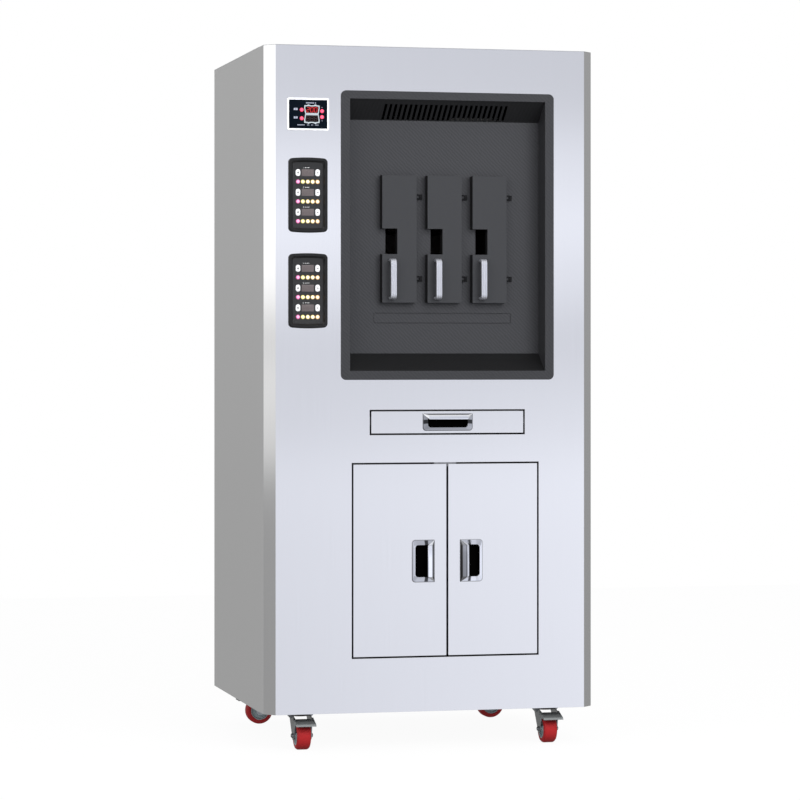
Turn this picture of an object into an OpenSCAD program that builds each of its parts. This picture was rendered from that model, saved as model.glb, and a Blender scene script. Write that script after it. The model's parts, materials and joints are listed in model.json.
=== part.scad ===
// Electric fish roaster: a stainless cabinet with a black hearth, three upright roasting doors, a drip drawer,
// a two-door cupboard, control panels in the left column, and four braked swivel castors.
// Millimetres. +Z up from the floor, the front faces -Y, X = 0 and Y = 0 at the middle of the outer box.
// Inside the modules, y counts from the flat of the front panel backwards.

/* [Cabinet] */
// Width over the side panels
body_w = 900; // [894:2:980]
// Depth from the front flat to the back panel
body_d = 765; // [755:5:860]
// Height of the cabinet without its castors
body_h = 1760; // [1750:5:1840]
// Width of the bevel down each front corner
bevel = 27; // [16:1:32]
// Thickness of the stainless sheet
sheet = 1.5; // [1.2:0.1:1.8]
// Depth of the front panel's side return, behind the bevel
return_d = 41; // [30:1:50]
// How far the side panels stand out from that return
joggle = 1.5; // [1:0.5:3]
// Length of the sloped step between them
joggle_run = 30; // [20:1:40]
// Depth of the folded edge round the drawer and cupboard openings
fold_d = 22; // [22:1:30]
// Height of the base frame's angle
frame_h = 30; // [24:1:40]

/* [Hearth] */
// Distance of the hearth's centre to the right of the cabinet's centre
hearth_x = 45; // [42:1:50]
// Height of the front above the recess's upper inner edge
hearth_drop = 139; // [134:1:146]
// Inner width of the recess at its mouth
hearth_w = 534; // [520:1:540]
// Inner height of the recess at its mouth
hearth_h = 718; // [712:1:725]
// Depth of the recess
hearth_d = 62; // [60:1:70]
// Rise of the sloped bottom
slope_low = 46; // [40:1:52]
// Fall of the sloped top
slope_high = 51; // [45:1:56]
// Width of the rim at the sides and bottom
rim_w = 24; // [18:0.5:28]
// Width of the rim at the top
rim_top_w = 21.5; // [18:0.5:26]
// How far the rim stands out from the front panel
rim_proud = 3.5; // [2:0.5:5]
// Width of a fume slot in the sloped top
vent_w = 7; // [4:0.1:8]
// Pitch of the fume slots
vent_pitch = 13.75; // [12:0.25:14]
// Width of the cover strip below the doors
strip_w = 376; // [340:1:400]
// Height of the cover strip
strip_h = 24; // [18:1:28]
// Height of the cover strip's lower edge above the recess's lower inner edge
strip_rise = 128; // [122:1:137]
// Gap round the cover strip
strip_gap = 2; // [1:0.5:3]

/* [Roasting doors] */
// Pitch of the doors
roast_pitch = 124; // [122:1:128]
// Width of a door
roast_door_w = 94; // [88:1:96]
// Height of a door
roast_door_h = 339; // [330:1:345]
// Thickness of a door
roast_door_t = 25.5; // [22:0.5:28]
// Height of the doors' lower edge above the recess's lower inner edge
roast_door_rise = 181; // [175:1:187]
// Lap of a door over the edge of its slot
slot_lap = 14.5; // [12:0.5:16]
// Width of the notch for the fish clip's handle
notch_w = 41; // [36:1:46]
// Height of the notch
notch_h = 68; // [60:1:72]
// Height of the notch above the door's lower edge
notch_rise = 129; // [127:1:134]
// Width of a bow handle
bow_w = 18; // [14:1:20]
// Length of a bow handle
bow_len = 109; // [100:1:112]
// How far a bow handle stands out from its door
bow_out = 30; // [26:1:31]
// Thickness of a bow handle's strap
bow_t = 7; // [5:0.5:8]
// Distance of a bow handle's centre from the door's free edge
bow_in = 24.5; // [20:0.5:28]
// Height of a bow handle above the door's lower edge
bow_rise = 8; // [6:1:10]
// Radius of a roasting door's hinge pin
roast_pin_r = 2.5; // [2:0.1:2.7]
// Height of the upper and lower hinge above the door's lower edge
roast_hinge_rise = [64, 282];

/* [Roasting chamber] */
// Depth of the chamber behind the hearth
chamber_d = 436; // [400:1:460]
// Free height above and below the slots
chamber_spare = 35; // [30:1:40]
// Distance from the outer slots' centres to the side walls
chamber_side = 86; // [80:1:90]
// Thickness of the wool jacket
wool_t = 25; // [15:1:30]
// Radius of a heating element's sheath
element_r = 4.2; // [3:0.1:5]
// Inner radius of the exhaust collar
collar_r = 73.5; // [60:0.5:80]
// Height of the exhaust collar above the top panel
collar_h = 40; // [20:1:50]
// Distance of the collar's centre from the front
collar_back = 600; // [580:5:640]

/* [Drawer] */
// Distance of the drawer's centre to the right of the cabinet's centre
drawer_x = 44; // [40:1:48]
// Width of the drawer's opening
drawer_w = 425; // [410:1:430]
// Height of the drawer's opening
drawer_h = 67; // [64:1:72]
// Height of the front between the recess and the drawer's opening
drawer_drop = 103; // [98:1:110]
// Length of the drawer's tray
tray_d = 508; // [500:2:540]
// Gap round the drawer front and the cupboard doors
front_gap = 4.5; // [3:0.5:6]
// Thickness of the drawer front and the cupboard doors
front_t = 20; // [18:1:20]

/* [Cupboard] */
// Left edge of the cupboard's opening, from the cabinet's centre
cupboard_left = -217; // [-225:1:-210]
// Right edge of the cupboard's opening
cupboard_right = 295; // [288:1:302]
// Line where the two doors meet
cupboard_meet = 43; // [38:1:48]
// Height of the opening's lower edge above the cabinet's bottom
cupboard_rise = 143; // [135:1:150]
// Height of the front between the drawer's and the cupboard's openings
cupboard_drop = 73; // [68:1:80]
// Depth of the cupboard's liner behind the front
cupboard_d = 690; // [650:5:710]
// Distance of a cupboard door's pivot from its side and its front
pivot_in = 6; // [5.5:0.1:6.5]
// Radius of a cupboard door's pivot pin
pivot_r = 3; // [2:0.1:3.2]

/* [Pulls] */
// How far a pull's hood stands out
hood_out = 15; // [10:1:18]
// Length of the drawer's pull
drawer_pull_len = 137; // [120:1:150]
// Height of the drawer's pull
drawer_pull_h = 46; // [42:1:48]
// Height of the drawer pull's hood
drawer_hood_h = 15.5; // [12:0.5:18]
// Length of a door's pull
door_pull_len = 113; // [100:1:125]
// Width of a door's pull
door_pull_h = 62; // [56:1:66]
// Width of the door pull's hood
door_hood_h = 23; // [18:0.5:26]
// Distance of a door's pull from the line where the doors meet
door_pull_in = 35; // [30:1:40]
// Height of the door pulls' lower end above the cupboard's opening
door_pull_rise = 199; // [150:1:250]

/* [Controls] */
// Distance of the controls' centre line to the left of the cabinet's centre
control_left = 335; // [330:1:340]
// Distance of the controller's centre below the cabinet's top
controller_drop = 182.3; // [172:0.1:188]
// Width of the controller's frame
controller_w = 113; // [100:1:118]
// Height of the controller's frame
controller_h = 86; // [80:1:90]
// Distance of the upper timer panel's centre below the controller's
timer_drop = 212.7; // [208:0.1:220]
// Pitch of the two timer panels
timer_pitch = 251.5; // [245:0.5:255]
// Width of a timer panel
timer_w = 105; // [100:1:110]
// Height of a timer panel
timer_h = 198; // [194:1:206]
// How far a timer panel stands out
timer_proud = 7; // [5:0.5:9]
// Pitch of the three timers on a panel
timer_row = 52; // [50:0.5:53]
// Distance of a key's centre from the panel's centre line
key_x = 26.3; // [25:0.1:28]
// Width of a key
key_w = 13.2; // [11:0.1:14]
// Height of a key
key_h = 19.4; // [16:0.1:21]
// Travel of a key
key_travel = 1.2; // [0.8:0.1:1.4]

/* [Castors] */
// Diameter of a castor wheel
wheel_d = 75; // [70:1:80]
// Width of the tyre
tyre_w = 38; // [32:1:42]
// Height from the floor to the castors' top plates
castor_h = 108; // [106:1:114]
// How far the cabinet's lower edge hangs below those plates
skirt = 8; // [6:1:9]
// Distance from a castor's swivel axis to its wheel's axle
trail = 30; // [26:1:34]
// Distance of the front castors' swivel axes from the middle
front_castor_x = 338; // [330:1:345]
// Distance of the rear castors' swivel axes from the middle
rear_castor_x = 309; // [300:1:315]
// Distance of the front castors' swivel axes from the front
front_castor_y = 95; // [85:1:110]
// Distance of the rear castors' swivel axes from the front
rear_castor_y = 670; // [640:1:680]
// Radius of the wheel's axle
axle_r = 4; // [3:0.5:5]

/* [Hidden] */
$fn = 48;
roast_n = 3;
vent_n = 25;
timers_per_panel = 3;
// Radial clearance of a running pin, gap beside a sliding piece, and gap between parts that only pass each other
run_fit = 0.05;
slide_fit = 0.3;
pass_gap = 1;

body_z0 = castor_h - skirt;
body_z1 = body_z0 + body_h;
half_w = body_w / 2;
front_half = half_w - joggle;
return_y = bevel + return_d;
side_lap = 20;
k45 = sqrt(2) - 1;

// The outer box runs from the hoods of the pulls to the end of the cable gland
gland_out = 25;
front_y = -(body_d + gland_out - hood_out) / 2;

frame_z0 = castor_h + 4;
frame_z1 = frame_z0 + frame_h;
pan_z1 = frame_z1 + sheet;

hearth_z1 = body_z1 - hearth_drop;
hearth_z0 = hearth_z1 - hearth_h;
hearth_x0 = hearth_x - hearth_w / 2;
hearth_x1 = hearth_x + hearth_w / 2;
wall_z0 = hearth_z0 + slope_low;
wall_z1 = hearth_z1 - slope_high;
slope_angle = atan(slope_high / hearth_d);
vent_y = hearth_d / 2 + 6;
vent_len = 46;

roast_door_z0 = hearth_z0 + roast_door_rise;
roast_door_y0 = hearth_d - 0.5 - roast_door_t;
slot_w = roast_door_w - 2 * slot_lap;
slot_z0 = roast_door_z0 + slot_lap;
slot_z1 = roast_door_z0 + roast_door_h - slot_lap;
roast_axis_out = 5;
roast_axis_back = 12;
lug_t = 4;
knuckle_t = 5.6;
knuckle_gap = 0.4;

chamber_x0 = hearth_x - roast_pitch - chamber_side;
chamber_x1 = hearth_x + roast_pitch + chamber_side;
chamber_y0 = hearth_d + sheet;
chamber_y1 = chamber_y0 + chamber_d;
chamber_z0 = slot_z0 - chamber_spare;
chamber_z1 = slot_z1 + chamber_spare;
riser_w = 200;
riser_d = 100;
riser_y = chamber_y1 - 80;
plenum_x0 = hearth_x - vent_pitch * (vent_n - 1) / 2 - 15;
plenum_x1 = hearth_x + vent_pitch * (vent_n - 1) / 2 + 15;
plenum_z0 = wall_z1 + 10;
plenum_z1 = body_z1 - 70;
plenum_y1 = collar_back + collar_r + 16;

drawer_z1 = hearth_z0 - drawer_drop;
drawer_z0 = drawer_z1 - drawer_h;
runner_t = 8;
runner_h = 14;
rail_t = 2;
rail_gap = 2.5;
tray_gap = 8;
tray_rim_gap = 4;
tray_x0 = drawer_x - drawer_w / 2 + rail_gap + runner_t;
tray_x1 = drawer_x + drawer_w / 2 - rail_gap - runner_t;
tray_z0 = drawer_z0 + tray_gap;
tray_z1 = drawer_z1 - tray_rim_gap;
tray_y1 = front_t + tray_d;
runner_z = (tray_z0 + tray_z1) / 2;
chute_z0 = drawer_z1 + 5;

cupboard_z0 = body_z0 + cupboard_rise;
cupboard_z1 = drawer_z0 - cupboard_drop;
cupboard_h = cupboard_z1 - cupboard_z0;
liner_y1 = cupboard_d;

control_x = -control_left;
controller_z = body_z1 - controller_drop;
timer_z = controller_z - timer_drop - timer_pitch;
controller_rim = 5.25;
timer_wall = 12.5;
timer_pocket = 9;
timer_floor_y = timer_pocket - timer_proud;
timer_case_d = 40;
timer_case_in = 8;
timer_hole_w = timer_w - 2 * (timer_case_in - pass_gap);
timer_hole_h = timer_h - 2 * (timer_case_in - pass_gap);
lamp_drop = 23.8;
lamp_r = 6;
lamp_pitch = 13.15;
display_w = 33;
display_h = 18;
key_r = 5.6;
key_flange = 1.6;

// Name, place and turn of each castor: a turn of 0 trails the wheel towards the front
castors = [
    ["front_left", -front_castor_x, front_castor_y, 0],
    ["front_right", front_castor_x, front_castor_y, 0],
    ["rear_left", -rear_castor_x, rear_castor_y, -90],
    ["rear_right", rear_castor_x, rear_castor_y, 90],
];
signs = ["plus", "minus"];

NODES = concat(
    ["front_panel", "left_side_panel", "right_side_panel", "back_panel", "top_panel", "base_frame",
     "hearth_recess", "roasting_chamber", "chamber_insulation", "heating_elements", "temperature_probe",
     "fume_duct", "drip_chute", "cupboard_liner", "switchgear", "cable_gland", "temperature_controller",
     "timer_housings", "timer_indicators", "drawer_rails", "door_hinges", "panel_screws", "castor_plates",
     "drawer_front", "drawer_tray", "drawer_pull", "left_door", "right_door", "left_door_pull",
     "right_door_pull"],
    [for (i = [1 : roast_n]) str("roast_door_", i)],
    [for (i = [1 : roast_n]) str("roast_handle_", i)],
    [for (t = [1 : 2 * timers_per_panel], s = signs) str("timer_", t, "_", s, "_key")],
    [for (c = castors) str("castor_fork_", c[0])],
    [for (c = castors) str("castor_wheel_", c[0])],
    [for (c = castors) str("brake_pedal_", c[0])]
);
node = "all";

function wanted(name) = node == "all" || node == name;

// ---------------------------------------------------------------- shared shapes

// Everything inside counts y from the front flat
module at_front() translate([0, front_y, 0]) children();

module box(x0, x1, y0, y1, z0, z1) translate([x0, y0, z0]) cube([x1 - x0, y1 - y0, z1 - z0]);

// A flat rectangle with round corners about the origin
module round_rect(w, h, r) {
    square([w - 2 * r, h], center = true);
    square([w, h - 2 * r], center = true);
    for (sx = [-1, 1], sy = [-1, 1]) translate([sx * (w / 2 - r), sy * (h / 2 - r)]) circle(r);
}

// A shape drawn in X and Z, given a thickness from y0 back to y1
module facing(x, z, y0, y1) translate([x, y1, z]) rotate([90, 0, 0]) linear_extrude(y1 - y0) children();

// A shape drawn in Y and Z, run along X from x0 to x1
module along_x(x0, x1) translate([x0, 0, 0]) rotate([90, 0, 90]) linear_extrude(x1 - x0) children();

module rod_y(x, z, r, y0, y1) translate([x, y0, z]) rotate([-90, 0, 0]) cylinder(r = r, h = y1 - y0);

// An open-backed tray of sheet, front at y0, rims back to y1
module pressed_tray(x0, x1, y0, y1, z0, z1) difference() {
    box(x0, x1, y0, y1, z0, z1);
    box(x0 + sheet, x1 - sheet, y0 + sheet, y1 + 1, z0 + sheet, z1 - sheet);
}

// ---------------------------------------------------------------- panels

module front_panel() color([0.86, 0.87, 0.89]) at_front() difference() {
    union() {
        translate([0, 0, body_z0]) linear_extrude(body_h - sheet) difference() {
            polygon([[-front_half, return_y], [-front_half, bevel], [bevel - front_half, 0],
                     [front_half - bevel, 0], [front_half, bevel], [front_half, return_y]]);
            polygon([[sheet - front_half, return_y + 1], [sheet - front_half, bevel + sheet * k45],
                     [bevel - front_half + sheet * k45, sheet], [front_half - bevel - sheet * k45, sheet],
                     [front_half - sheet, bevel + sheet * k45], [front_half - sheet, return_y + 1]]);
        }
        box(drawer_x - drawer_w / 2 - sheet, drawer_x + drawer_w / 2 + sheet, 0, fold_d,
            drawer_z0 - sheet, drawer_z1 + sheet);
        box(cupboard_left - sheet, cupboard_right + sheet, 0, fold_d, cupboard_z0 - sheet, cupboard_z1 + sheet);
    }
    box(drawer_x - drawer_w / 2, drawer_x + drawer_w / 2, -1, fold_d + 1, drawer_z0, drawer_z1);
    box(cupboard_left, cupboard_right, -1, fold_d + 1, cupboard_z0, cupboard_z1);
    box(hearth_x0 - 2 * sheet, hearth_x1 + 2 * sheet, -1, sheet + 1, hearth_z0 - 2 * sheet, hearth_z1 + 2 * sheet);
    box(control_x - controller_w / 2 + 8, control_x + controller_w / 2 - 8, -1, sheet + 1,
        controller_z - controller_h / 2 + 8, controller_z + controller_h / 2 - 8);
    for (p = [0, 1])
        translate([control_x, 0, timer_z + p * timer_pitch])
            box(-timer_hole_w / 2, timer_hole_w / 2, -1, sheet + 1, -timer_hole_h / 2, timer_hole_h / 2);
}

// The left side panel: a lap behind the front panel's return, a sloped step, the flat side and a back flange
module side_panel() translate([0, 0, body_z0]) linear_extrude(body_h - sheet) polygon([
    [sheet - front_half, return_y - side_lap], [2 * sheet - front_half, return_y - side_lap],
    [2 * sheet - front_half, return_y + sheet], [sheet - front_half, return_y + sheet],
    [sheet - half_w, return_y + joggle_run], [sheet - half_w, body_d - 2 * sheet],
    [side_lap - half_w, body_d - 2 * sheet], [side_lap - half_w, body_d - sheet], [sheet - half_w, body_d - sheet],
    [sheet - half_w, body_d], [-half_w, body_d], [-half_w, return_y + joggle_run], [-front_half, return_y],
    [sheet - front_half, return_y]]);

module left_side_panel() color([0.64, 0.64, 0.64]) at_front() side_panel();

module right_side_panel() color([0.64, 0.64, 0.64]) at_front() mirror([1, 0, 0]) side_panel();

gland_in = 118.5;
gland_rise = 160;
gland_x = sheet - half_w + gland_in;
gland_z = body_z0 + gland_rise;
gland_thread_r = 10;
louvre_n = 8;
louvre_x = 300;
louvre_w = 150;
louvre_h = 6;
louvre_pitch = 18;
louvre_low = 280;
louvre_high = 300;

module back_panel() color([0.70, 0.70, 0.71]) at_front() difference() {
    box(sheet - half_w, half_w - sheet, body_d - sheet, body_d, body_z0, body_z1 - sheet);
    rod_y(gland_x, gland_z, gland_thread_r + slide_fit, body_d - 2 * sheet, body_d + 1);
    for (side = [-1, 1], low = [body_z0 + louvre_low, body_z1 - louvre_high], i = [0 : louvre_n - 1])
        facing(side * louvre_x, low + i * louvre_pitch, body_d - 2 * sheet, body_d + 1)
            round_rect(louvre_w, louvre_h, 0.48 * louvre_h);
    for (p = screw_places) rod_y(p[0], p[1], screw_r + 0.2, body_d - 2 * sheet, body_d + 1);
}

// Screws along the back panel's two sides
screw_r = 2.5;
screw_n = 6;
screw_x = half_w - 12;
screw_end = 60;
screw_places = [for (side = [-1, 1], i = [0 : screw_n - 1])
    [side * screw_x, body_z0 + screw_end + i * (body_h - 2 * screw_end) / (screw_n - 1)]];

module panel_screws() color([0.75, 0.75, 0.76]) at_front() for (p = screw_places) {
    rod_y(p[0], p[1], screw_r, body_d - sheet, body_d + 1);
    rod_y(p[0], p[1], 5, body_d, body_d + 2.5);
}

module top_panel() color([0.74, 0.74, 0.75]) at_front() difference() {
    translate([0, 0, body_z1 - sheet]) linear_extrude(sheet)
        polygon([[bevel - front_half, 0], [front_half - bevel, 0], [front_half, bevel], [front_half, return_y],
                 [half_w, return_y + joggle_run], [half_w, body_d], [-half_w, body_d],
                 [-half_w, return_y + joggle_run], [-front_half, return_y], [-front_half, bevel]]);
    translate([hearth_x, collar_back, body_z1 - 2 * sheet]) cylinder(r = collar_r + sheet + slide_fit, h = 3 * sheet);
}

// Outline of the base frame, inside the panels, drawn in by d
module frame_outline(d) polygon([
    [2 * sheet + d - front_half, body_d - 2 * sheet - d], [2 * sheet + d - front_half, bevel + 6 + sheet + d],
    [bevel + 6 + 2 * sheet + d - front_half, sheet + d], [front_half - bevel - 6 - 2 * sheet - d, sheet + d],
    [front_half - 2 * sheet - d, bevel + 6 + sheet + d], [front_half - 2 * sheet - d, body_d - 2 * sheet - d]]);

angle_t = 3;
rail_half = 72;

module base_frame() color([0.55, 0.56, 0.57]) at_front() {
    translate([0, 0, frame_z0]) linear_extrude(frame_h) difference() {
        frame_outline(0);
        frame_outline(angle_t);
    }
    translate([0, 0, frame_z1 - angle_t]) linear_extrude(angle_t) difference() {
        frame_outline(0);
        frame_outline(frame_h);
    }
    translate([0, 0, frame_z1]) linear_extrude(sheet) frame_outline(0);
    for (side = [-1, 1]) translate([side * (front_castor_x + rear_castor_x) / 2, 0, 0])
        box(-rail_half, rail_half, sheet, body_d - 2 * sheet, castor_h, frame_z0);
}

// ---------------------------------------------------------------- hearth and roasting chamber

// Side view of the recess, its sheet grown outwards by t, open towards the front
module recess_side(t, y0) polygon([
    [y0, hearth_z1 + t - y0 * slope_high / hearth_d], [hearth_d + t, wall_z1 + t - t * slope_high / hearth_d],
    [hearth_d + t, wall_z0 - t + t * slope_low / hearth_d], [y0, hearth_z0 - t + y0 * slope_low / hearth_d]]);

function roast_x(i) = hearth_x + (i - (roast_n - 1) / 2) * roast_pitch;

module hearth_recess() color([0.22, 0.22, 0.23]) at_front() difference() {
    union() {
        along_x(hearth_x0 - sheet, hearth_x1 + sheet) recess_side(sheet, 0);
        facing(hearth_x, (hearth_z0 + hearth_z1 + rim_top_w - rim_w) / 2, -rim_proud, 0)
            round_rect(hearth_w + 2 * rim_w, hearth_h + rim_w + rim_top_w, 14);
    }
    along_x(hearth_x0, hearth_x1) intersection() {
        recess_side(0, -rim_proud - 1);
        translate([-rim_proud - 1, hearth_z0]) square([hearth_d + rim_proud + 1, hearth_h]);
    }
    for (i = [0 : roast_n - 1]) box(roast_x(i) - slot_w / 2, roast_x(i) + slot_w / 2, hearth_d - 1,
                                    hearth_d + sheet + 1, slot_z0, slot_z1);
    for (i = [0 : vent_n - 1])
        translate([hearth_x + (i - (vent_n - 1) / 2) * vent_pitch, vent_y,
                   hearth_z1 - vent_y * slope_high / hearth_d])
            rotate([-slope_angle, 0, 0]) cube([vent_w, vent_len / cos(slope_angle), 8], center = true);
    // Seam round the cover strip, half the sheet deep
    facing(hearth_x, hearth_z0 + strip_rise + strip_h / 2, hearth_d - 1, hearth_d + sheet / 2) difference() {
        round_rect(strip_w + 2 * strip_gap, strip_h + 2 * strip_gap, 5);
        round_rect(strip_w, strip_h, 3);
    }
}

rail_w = 30;

module roasting_chamber() color([0.45, 0.45, 0.46]) at_front() {
    difference() {
        box(chamber_x0, chamber_x1, chamber_y0, chamber_y1, chamber_z0, chamber_z1);
        box(chamber_x0 + sheet, chamber_x1 - sheet, chamber_y0 - 1, chamber_y1 - sheet, chamber_z0 - 1,
            chamber_z1 - sheet);
        box(hearth_x - riser_w / 2, hearth_x + riser_w / 2, riser_y - riser_d / 2, riser_y + riser_d / 2,
            chamber_z1 - 2 * sheet, chamber_z1 + 1);
        for (i = [0 : roast_n], z = [element_z(0), element_z(element_runs - 1)])
            rod_y(element_x(i), z, element_r + slide_fit, chamber_y1 - 2 * sheet, chamber_y1 + 1);
        rod_y(hearth_x, probe_z, probe_r + slide_fit, chamber_y1 - 2 * sheet, chamber_y1 + 1);
    }
    // Cross bars that carry a channel for the clip's lower edge and two guides above it in each bay
    for (y = [chamber_y0 + 20, chamber_y0 + chamber_d / 2, chamber_y1 - 30])
        box(chamber_x0 + sheet / 2, chamber_x1 - sheet / 2, y, y + 10, slot_z0 - 20, slot_z0 - 12);
    for (i = [0 : roast_n - 1], side = [-1, 1]) {
        box(roast_x(i) - rail_w / 2, roast_x(i) + rail_w / 2, chamber_y0 + 4, chamber_y1 - sheet / 2,
            slot_z0 - 12, slot_z0 - 10);
        box(roast_x(i) + side * rail_w / 2 - (side + 1), roast_x(i) + side * rail_w / 2 - (side - 1),
            chamber_y0 + 4, chamber_y1 - sheet / 2, slot_z0 - 12, slot_z0 - 3);
        box(roast_x(i) + side * (rail_w / 2 + 3) - 2, roast_x(i) + side * (rail_w / 2 + 3) + 2, chamber_y0 + 4,
            chamber_y1 - sheet / 2, slot_z1 + 5, slot_z1 + 9);
    }
}

module chamber_insulation() color([0.87, 0.84, 0.72]) at_front() difference() {
    box(chamber_x0 - wool_t, chamber_x1 + wool_t, chamber_y0, chamber_y1 + wool_t, chamber_z0, chamber_z1 + wool_t);
    box(chamber_x0, chamber_x1, chamber_y0 - 1, chamber_y1, chamber_z0 - 1, chamber_z1);
    box(hearth_x - riser_w / 2, hearth_x + riser_w / 2, riser_y - riser_d / 2, riser_y + riser_d / 2,
        chamber_z1 - 1, chamber_z1 + wool_t + 1);
    for (i = [0 : roast_n], z = [element_z(0), element_z(element_runs - 1)])
        rod_y(element_x(i), z, element_r + 3, chamber_y1 - 1, chamber_y1 + wool_t + 1);
    rod_y(hearth_x, probe_z, probe_r + 3, chamber_y1 - 1, chamber_y1 + wool_t + 1);
}

// Each element is one rod bent to and fro in a flat plane beside a bay
element_runs = 6;
element_step = (slot_z1 - slot_z0 - 20) / (element_runs - 1);
function element_x(i) = hearth_x + (i - roast_n / 2) * roast_pitch;
function element_z(k) = slot_z0 + 10 + k * element_step;

module heating_element() {
    bend_r = element_step / 2;
    near = chamber_y0 + 20 + bend_r;
    far = chamber_y1 - 40 - bend_r;
    for (k = [0 : element_runs - 1]) {
        out = k == 0 || k == element_runs - 1;
        rod_y(0, element_z(k), element_r, near, out ? chamber_y1 + wool_t + 30 : far);
        if (out) rod_y(0, element_z(k), element_r + 4, chamber_y1 - sheet - 6, chamber_y1 - sheet);
    }
    for (k = [0 : element_runs - 2]) {
        front = k % 2 == 0;
        translate([0, front ? near : far, element_z(k) + bend_r]) rotate([0, 90, 0]) rotate([0, 0, front ? 180 : 0])
            rotate_extrude(angle = 180) translate([bend_r, 0]) circle(element_r, $fn = 24);
    }
}

module heating_elements() color([0.35, 0.30, 0.28]) at_front()
    for (i = [0 : roast_n]) translate([element_x(i), 0, 0]) heating_element();

probe_r = 3;
probe_z = slot_z1 + 22;
probe_in = 160;
probe_out = 40;

module temperature_probe() color([0.8, 0.8, 0.8]) at_front() {
    rod_y(hearth_x, probe_z, probe_r, chamber_y1 - probe_in, chamber_y1 + wool_t + probe_out);
    rod_y(hearth_x, probe_z, probe_r + 4, chamber_y1 - sheet - 6, chamber_y1 - sheet);
    rod_y(hearth_x, probe_z, probe_r + 5, chamber_y1 + wool_t, chamber_y1 + wool_t + 18);
}

// Side view of the fume hood's box, which rests its open front on the recess's sloped top
module plenum_side(t) {
    top_slope = slope_high / hearth_d;
    lift = sheet + 0.5;
    polygon([
        [8 + t, hearth_z1 + lift - (8 + t) * top_slope - 6 * t], [8 + t, plenum_z1 - t],
        [plenum_y1 - t, plenum_z1 - t], [plenum_y1 - t, plenum_z0 + t], [hearth_d + 4 + t, plenum_z0 + t],
        [hearth_d + 4 + t, hearth_z1 + lift - (hearth_d + 4 + t) * top_slope - 6 * t]]);
}

module fume_duct() color([0.62, 0.63, 0.64]) at_front() difference() {
    union() {
        along_x(plenum_x0, plenum_x1) plenum_side(0);
        box(hearth_x - riser_w / 2, hearth_x + riser_w / 2, riser_y - riser_d / 2, riser_y + riser_d / 2,
            chamber_z1 - sheet, plenum_z0 + sheet);
        translate([hearth_x, collar_back, plenum_z1 - sheet])
            cylinder(r = collar_r + sheet, h = body_z1 + collar_h - plenum_z1 + sheet);
        translate([hearth_x, collar_back, body_z1]) cylinder(r = collar_r + 20, h = sheet);
    }
    along_x(plenum_x0 + sheet, plenum_x1 - sheet) plenum_side(sheet);
    box(hearth_x - riser_w / 2 + sheet, hearth_x + riser_w / 2 - sheet, riser_y - riser_d / 2 + sheet,
        riser_y + riser_d / 2 - sheet, chamber_z1 - 2 * sheet, plenum_z0 + 2 * sheet);
    translate([hearth_x, collar_back, plenum_z1 - 2 * sheet]) cylinder(r = collar_r, h = body_z1 + collar_h);
}

chute_in = 46;
chute_fall = 100;

// Front view of the chute, narrowing from the chamber to the drawer, drawn in by t
module chute_front(t) polygon([
    [chamber_x0 + t, chamber_z0 + t], [chamber_x0 + chute_in + t, chamber_z0 - chute_fall],
    [chamber_x0 + chute_in + t, chute_z0 - t], [chamber_x1 - chute_in - t, chute_z0 - t],
    [chamber_x1 - chute_in - t, chamber_z0 - chute_fall], [chamber_x1 - t, chamber_z0 + t]]);

module drip_chute() color([0.60, 0.61, 0.62]) at_front() difference() {
    facing(0, 0, chamber_y0 + 2, chamber_y1 - 2) chute_front(0);
    facing(0, 0, chamber_y0 + 2 + sheet, chamber_y1 - 2 - sheet) chute_front(sheet);
}

// ---------------------------------------------------------------- drawer

module drawer_front() color([0.87, 0.88, 0.90]) at_front() difference() {
    pressed_tray(drawer_x - drawer_w / 2 + front_gap, drawer_x + drawer_w / 2 - front_gap, 0, front_t,
                 drawer_z0 + front_gap, drawer_z1 - front_gap);
    pull_cut(drawer_x, (drawer_z0 + drawer_z1) / 2, 0, drawer_pull_len, drawer_pull_h);
}

module drawer_tray() color([0.72, 0.73, 0.74]) at_front() {
    difference() {
        box(tray_x0, tray_x1, front_t, tray_y1, tray_z0, tray_z1);
        box(tray_x0 + sheet, tray_x1 - sheet, front_t + sheet, tray_y1 - sheet, tray_z0 + sheet, tray_z1 + 1);
    }
    for (x = [tray_x0 - runner_t, tray_x1])
        box(x, x + runner_t, front_t + 5, tray_y1, runner_z - runner_h / 2, runner_z + runner_h / 2);
}

module drawer_rail(x) {
    lip = runner_t + 0.1;
    difference() {
        box(x - rail_t, x + lip, fold_d + 1, tray_y1 + 10, runner_z - runner_h / 2 - slide_fit - rail_t,
            runner_z + runner_h / 2 + slide_fit + rail_t);
        box(x, x + lip + 1, fold_d, tray_y1 + 11, runner_z - runner_h / 2 - slide_fit,
            runner_z + runner_h / 2 + slide_fit);
    }
    for (y = [40, tray_y1 / 2, tray_y1 - 40])
        box(x - rail_t - 3, x - rail_t, y, y + 30, cupboard_z1 + sheet, runner_z + 8);
}

module drawer_rails() color([0.6, 0.6, 0.62]) at_front() {
    drawer_rail(tray_x0 - runner_t - 0.5);
    translate([tray_x0 + tray_x1, 0, 0]) mirror([1, 0, 0]) drawer_rail(tray_x0 - runner_t - 0.5);
}

// ---------------------------------------------------------------- pulls

pull_plate = 2;
pull_depth = 16;
pull_end = 15;
pull_side = 9;
pull_wall = 1.5;

// Room for a pull's cup in the piece that carries it
module pull_cut(x, z, turn, length, height) translate([x, 0, z]) rotate([0, turn, 0])
    box(-length / 2 + pull_end - 3, length / 2 - pull_end + 3, -1, pull_depth + 1, -height / 2 + pull_side - 3,
        height / 2 - 4);

// Outline of a pull's plate, round at the corners away from its hood
module pull_outline(length, height) {
    round_rect(length, height, 9);
    translate([-length / 2, 0]) square([length, height / 2]);
}

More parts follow.
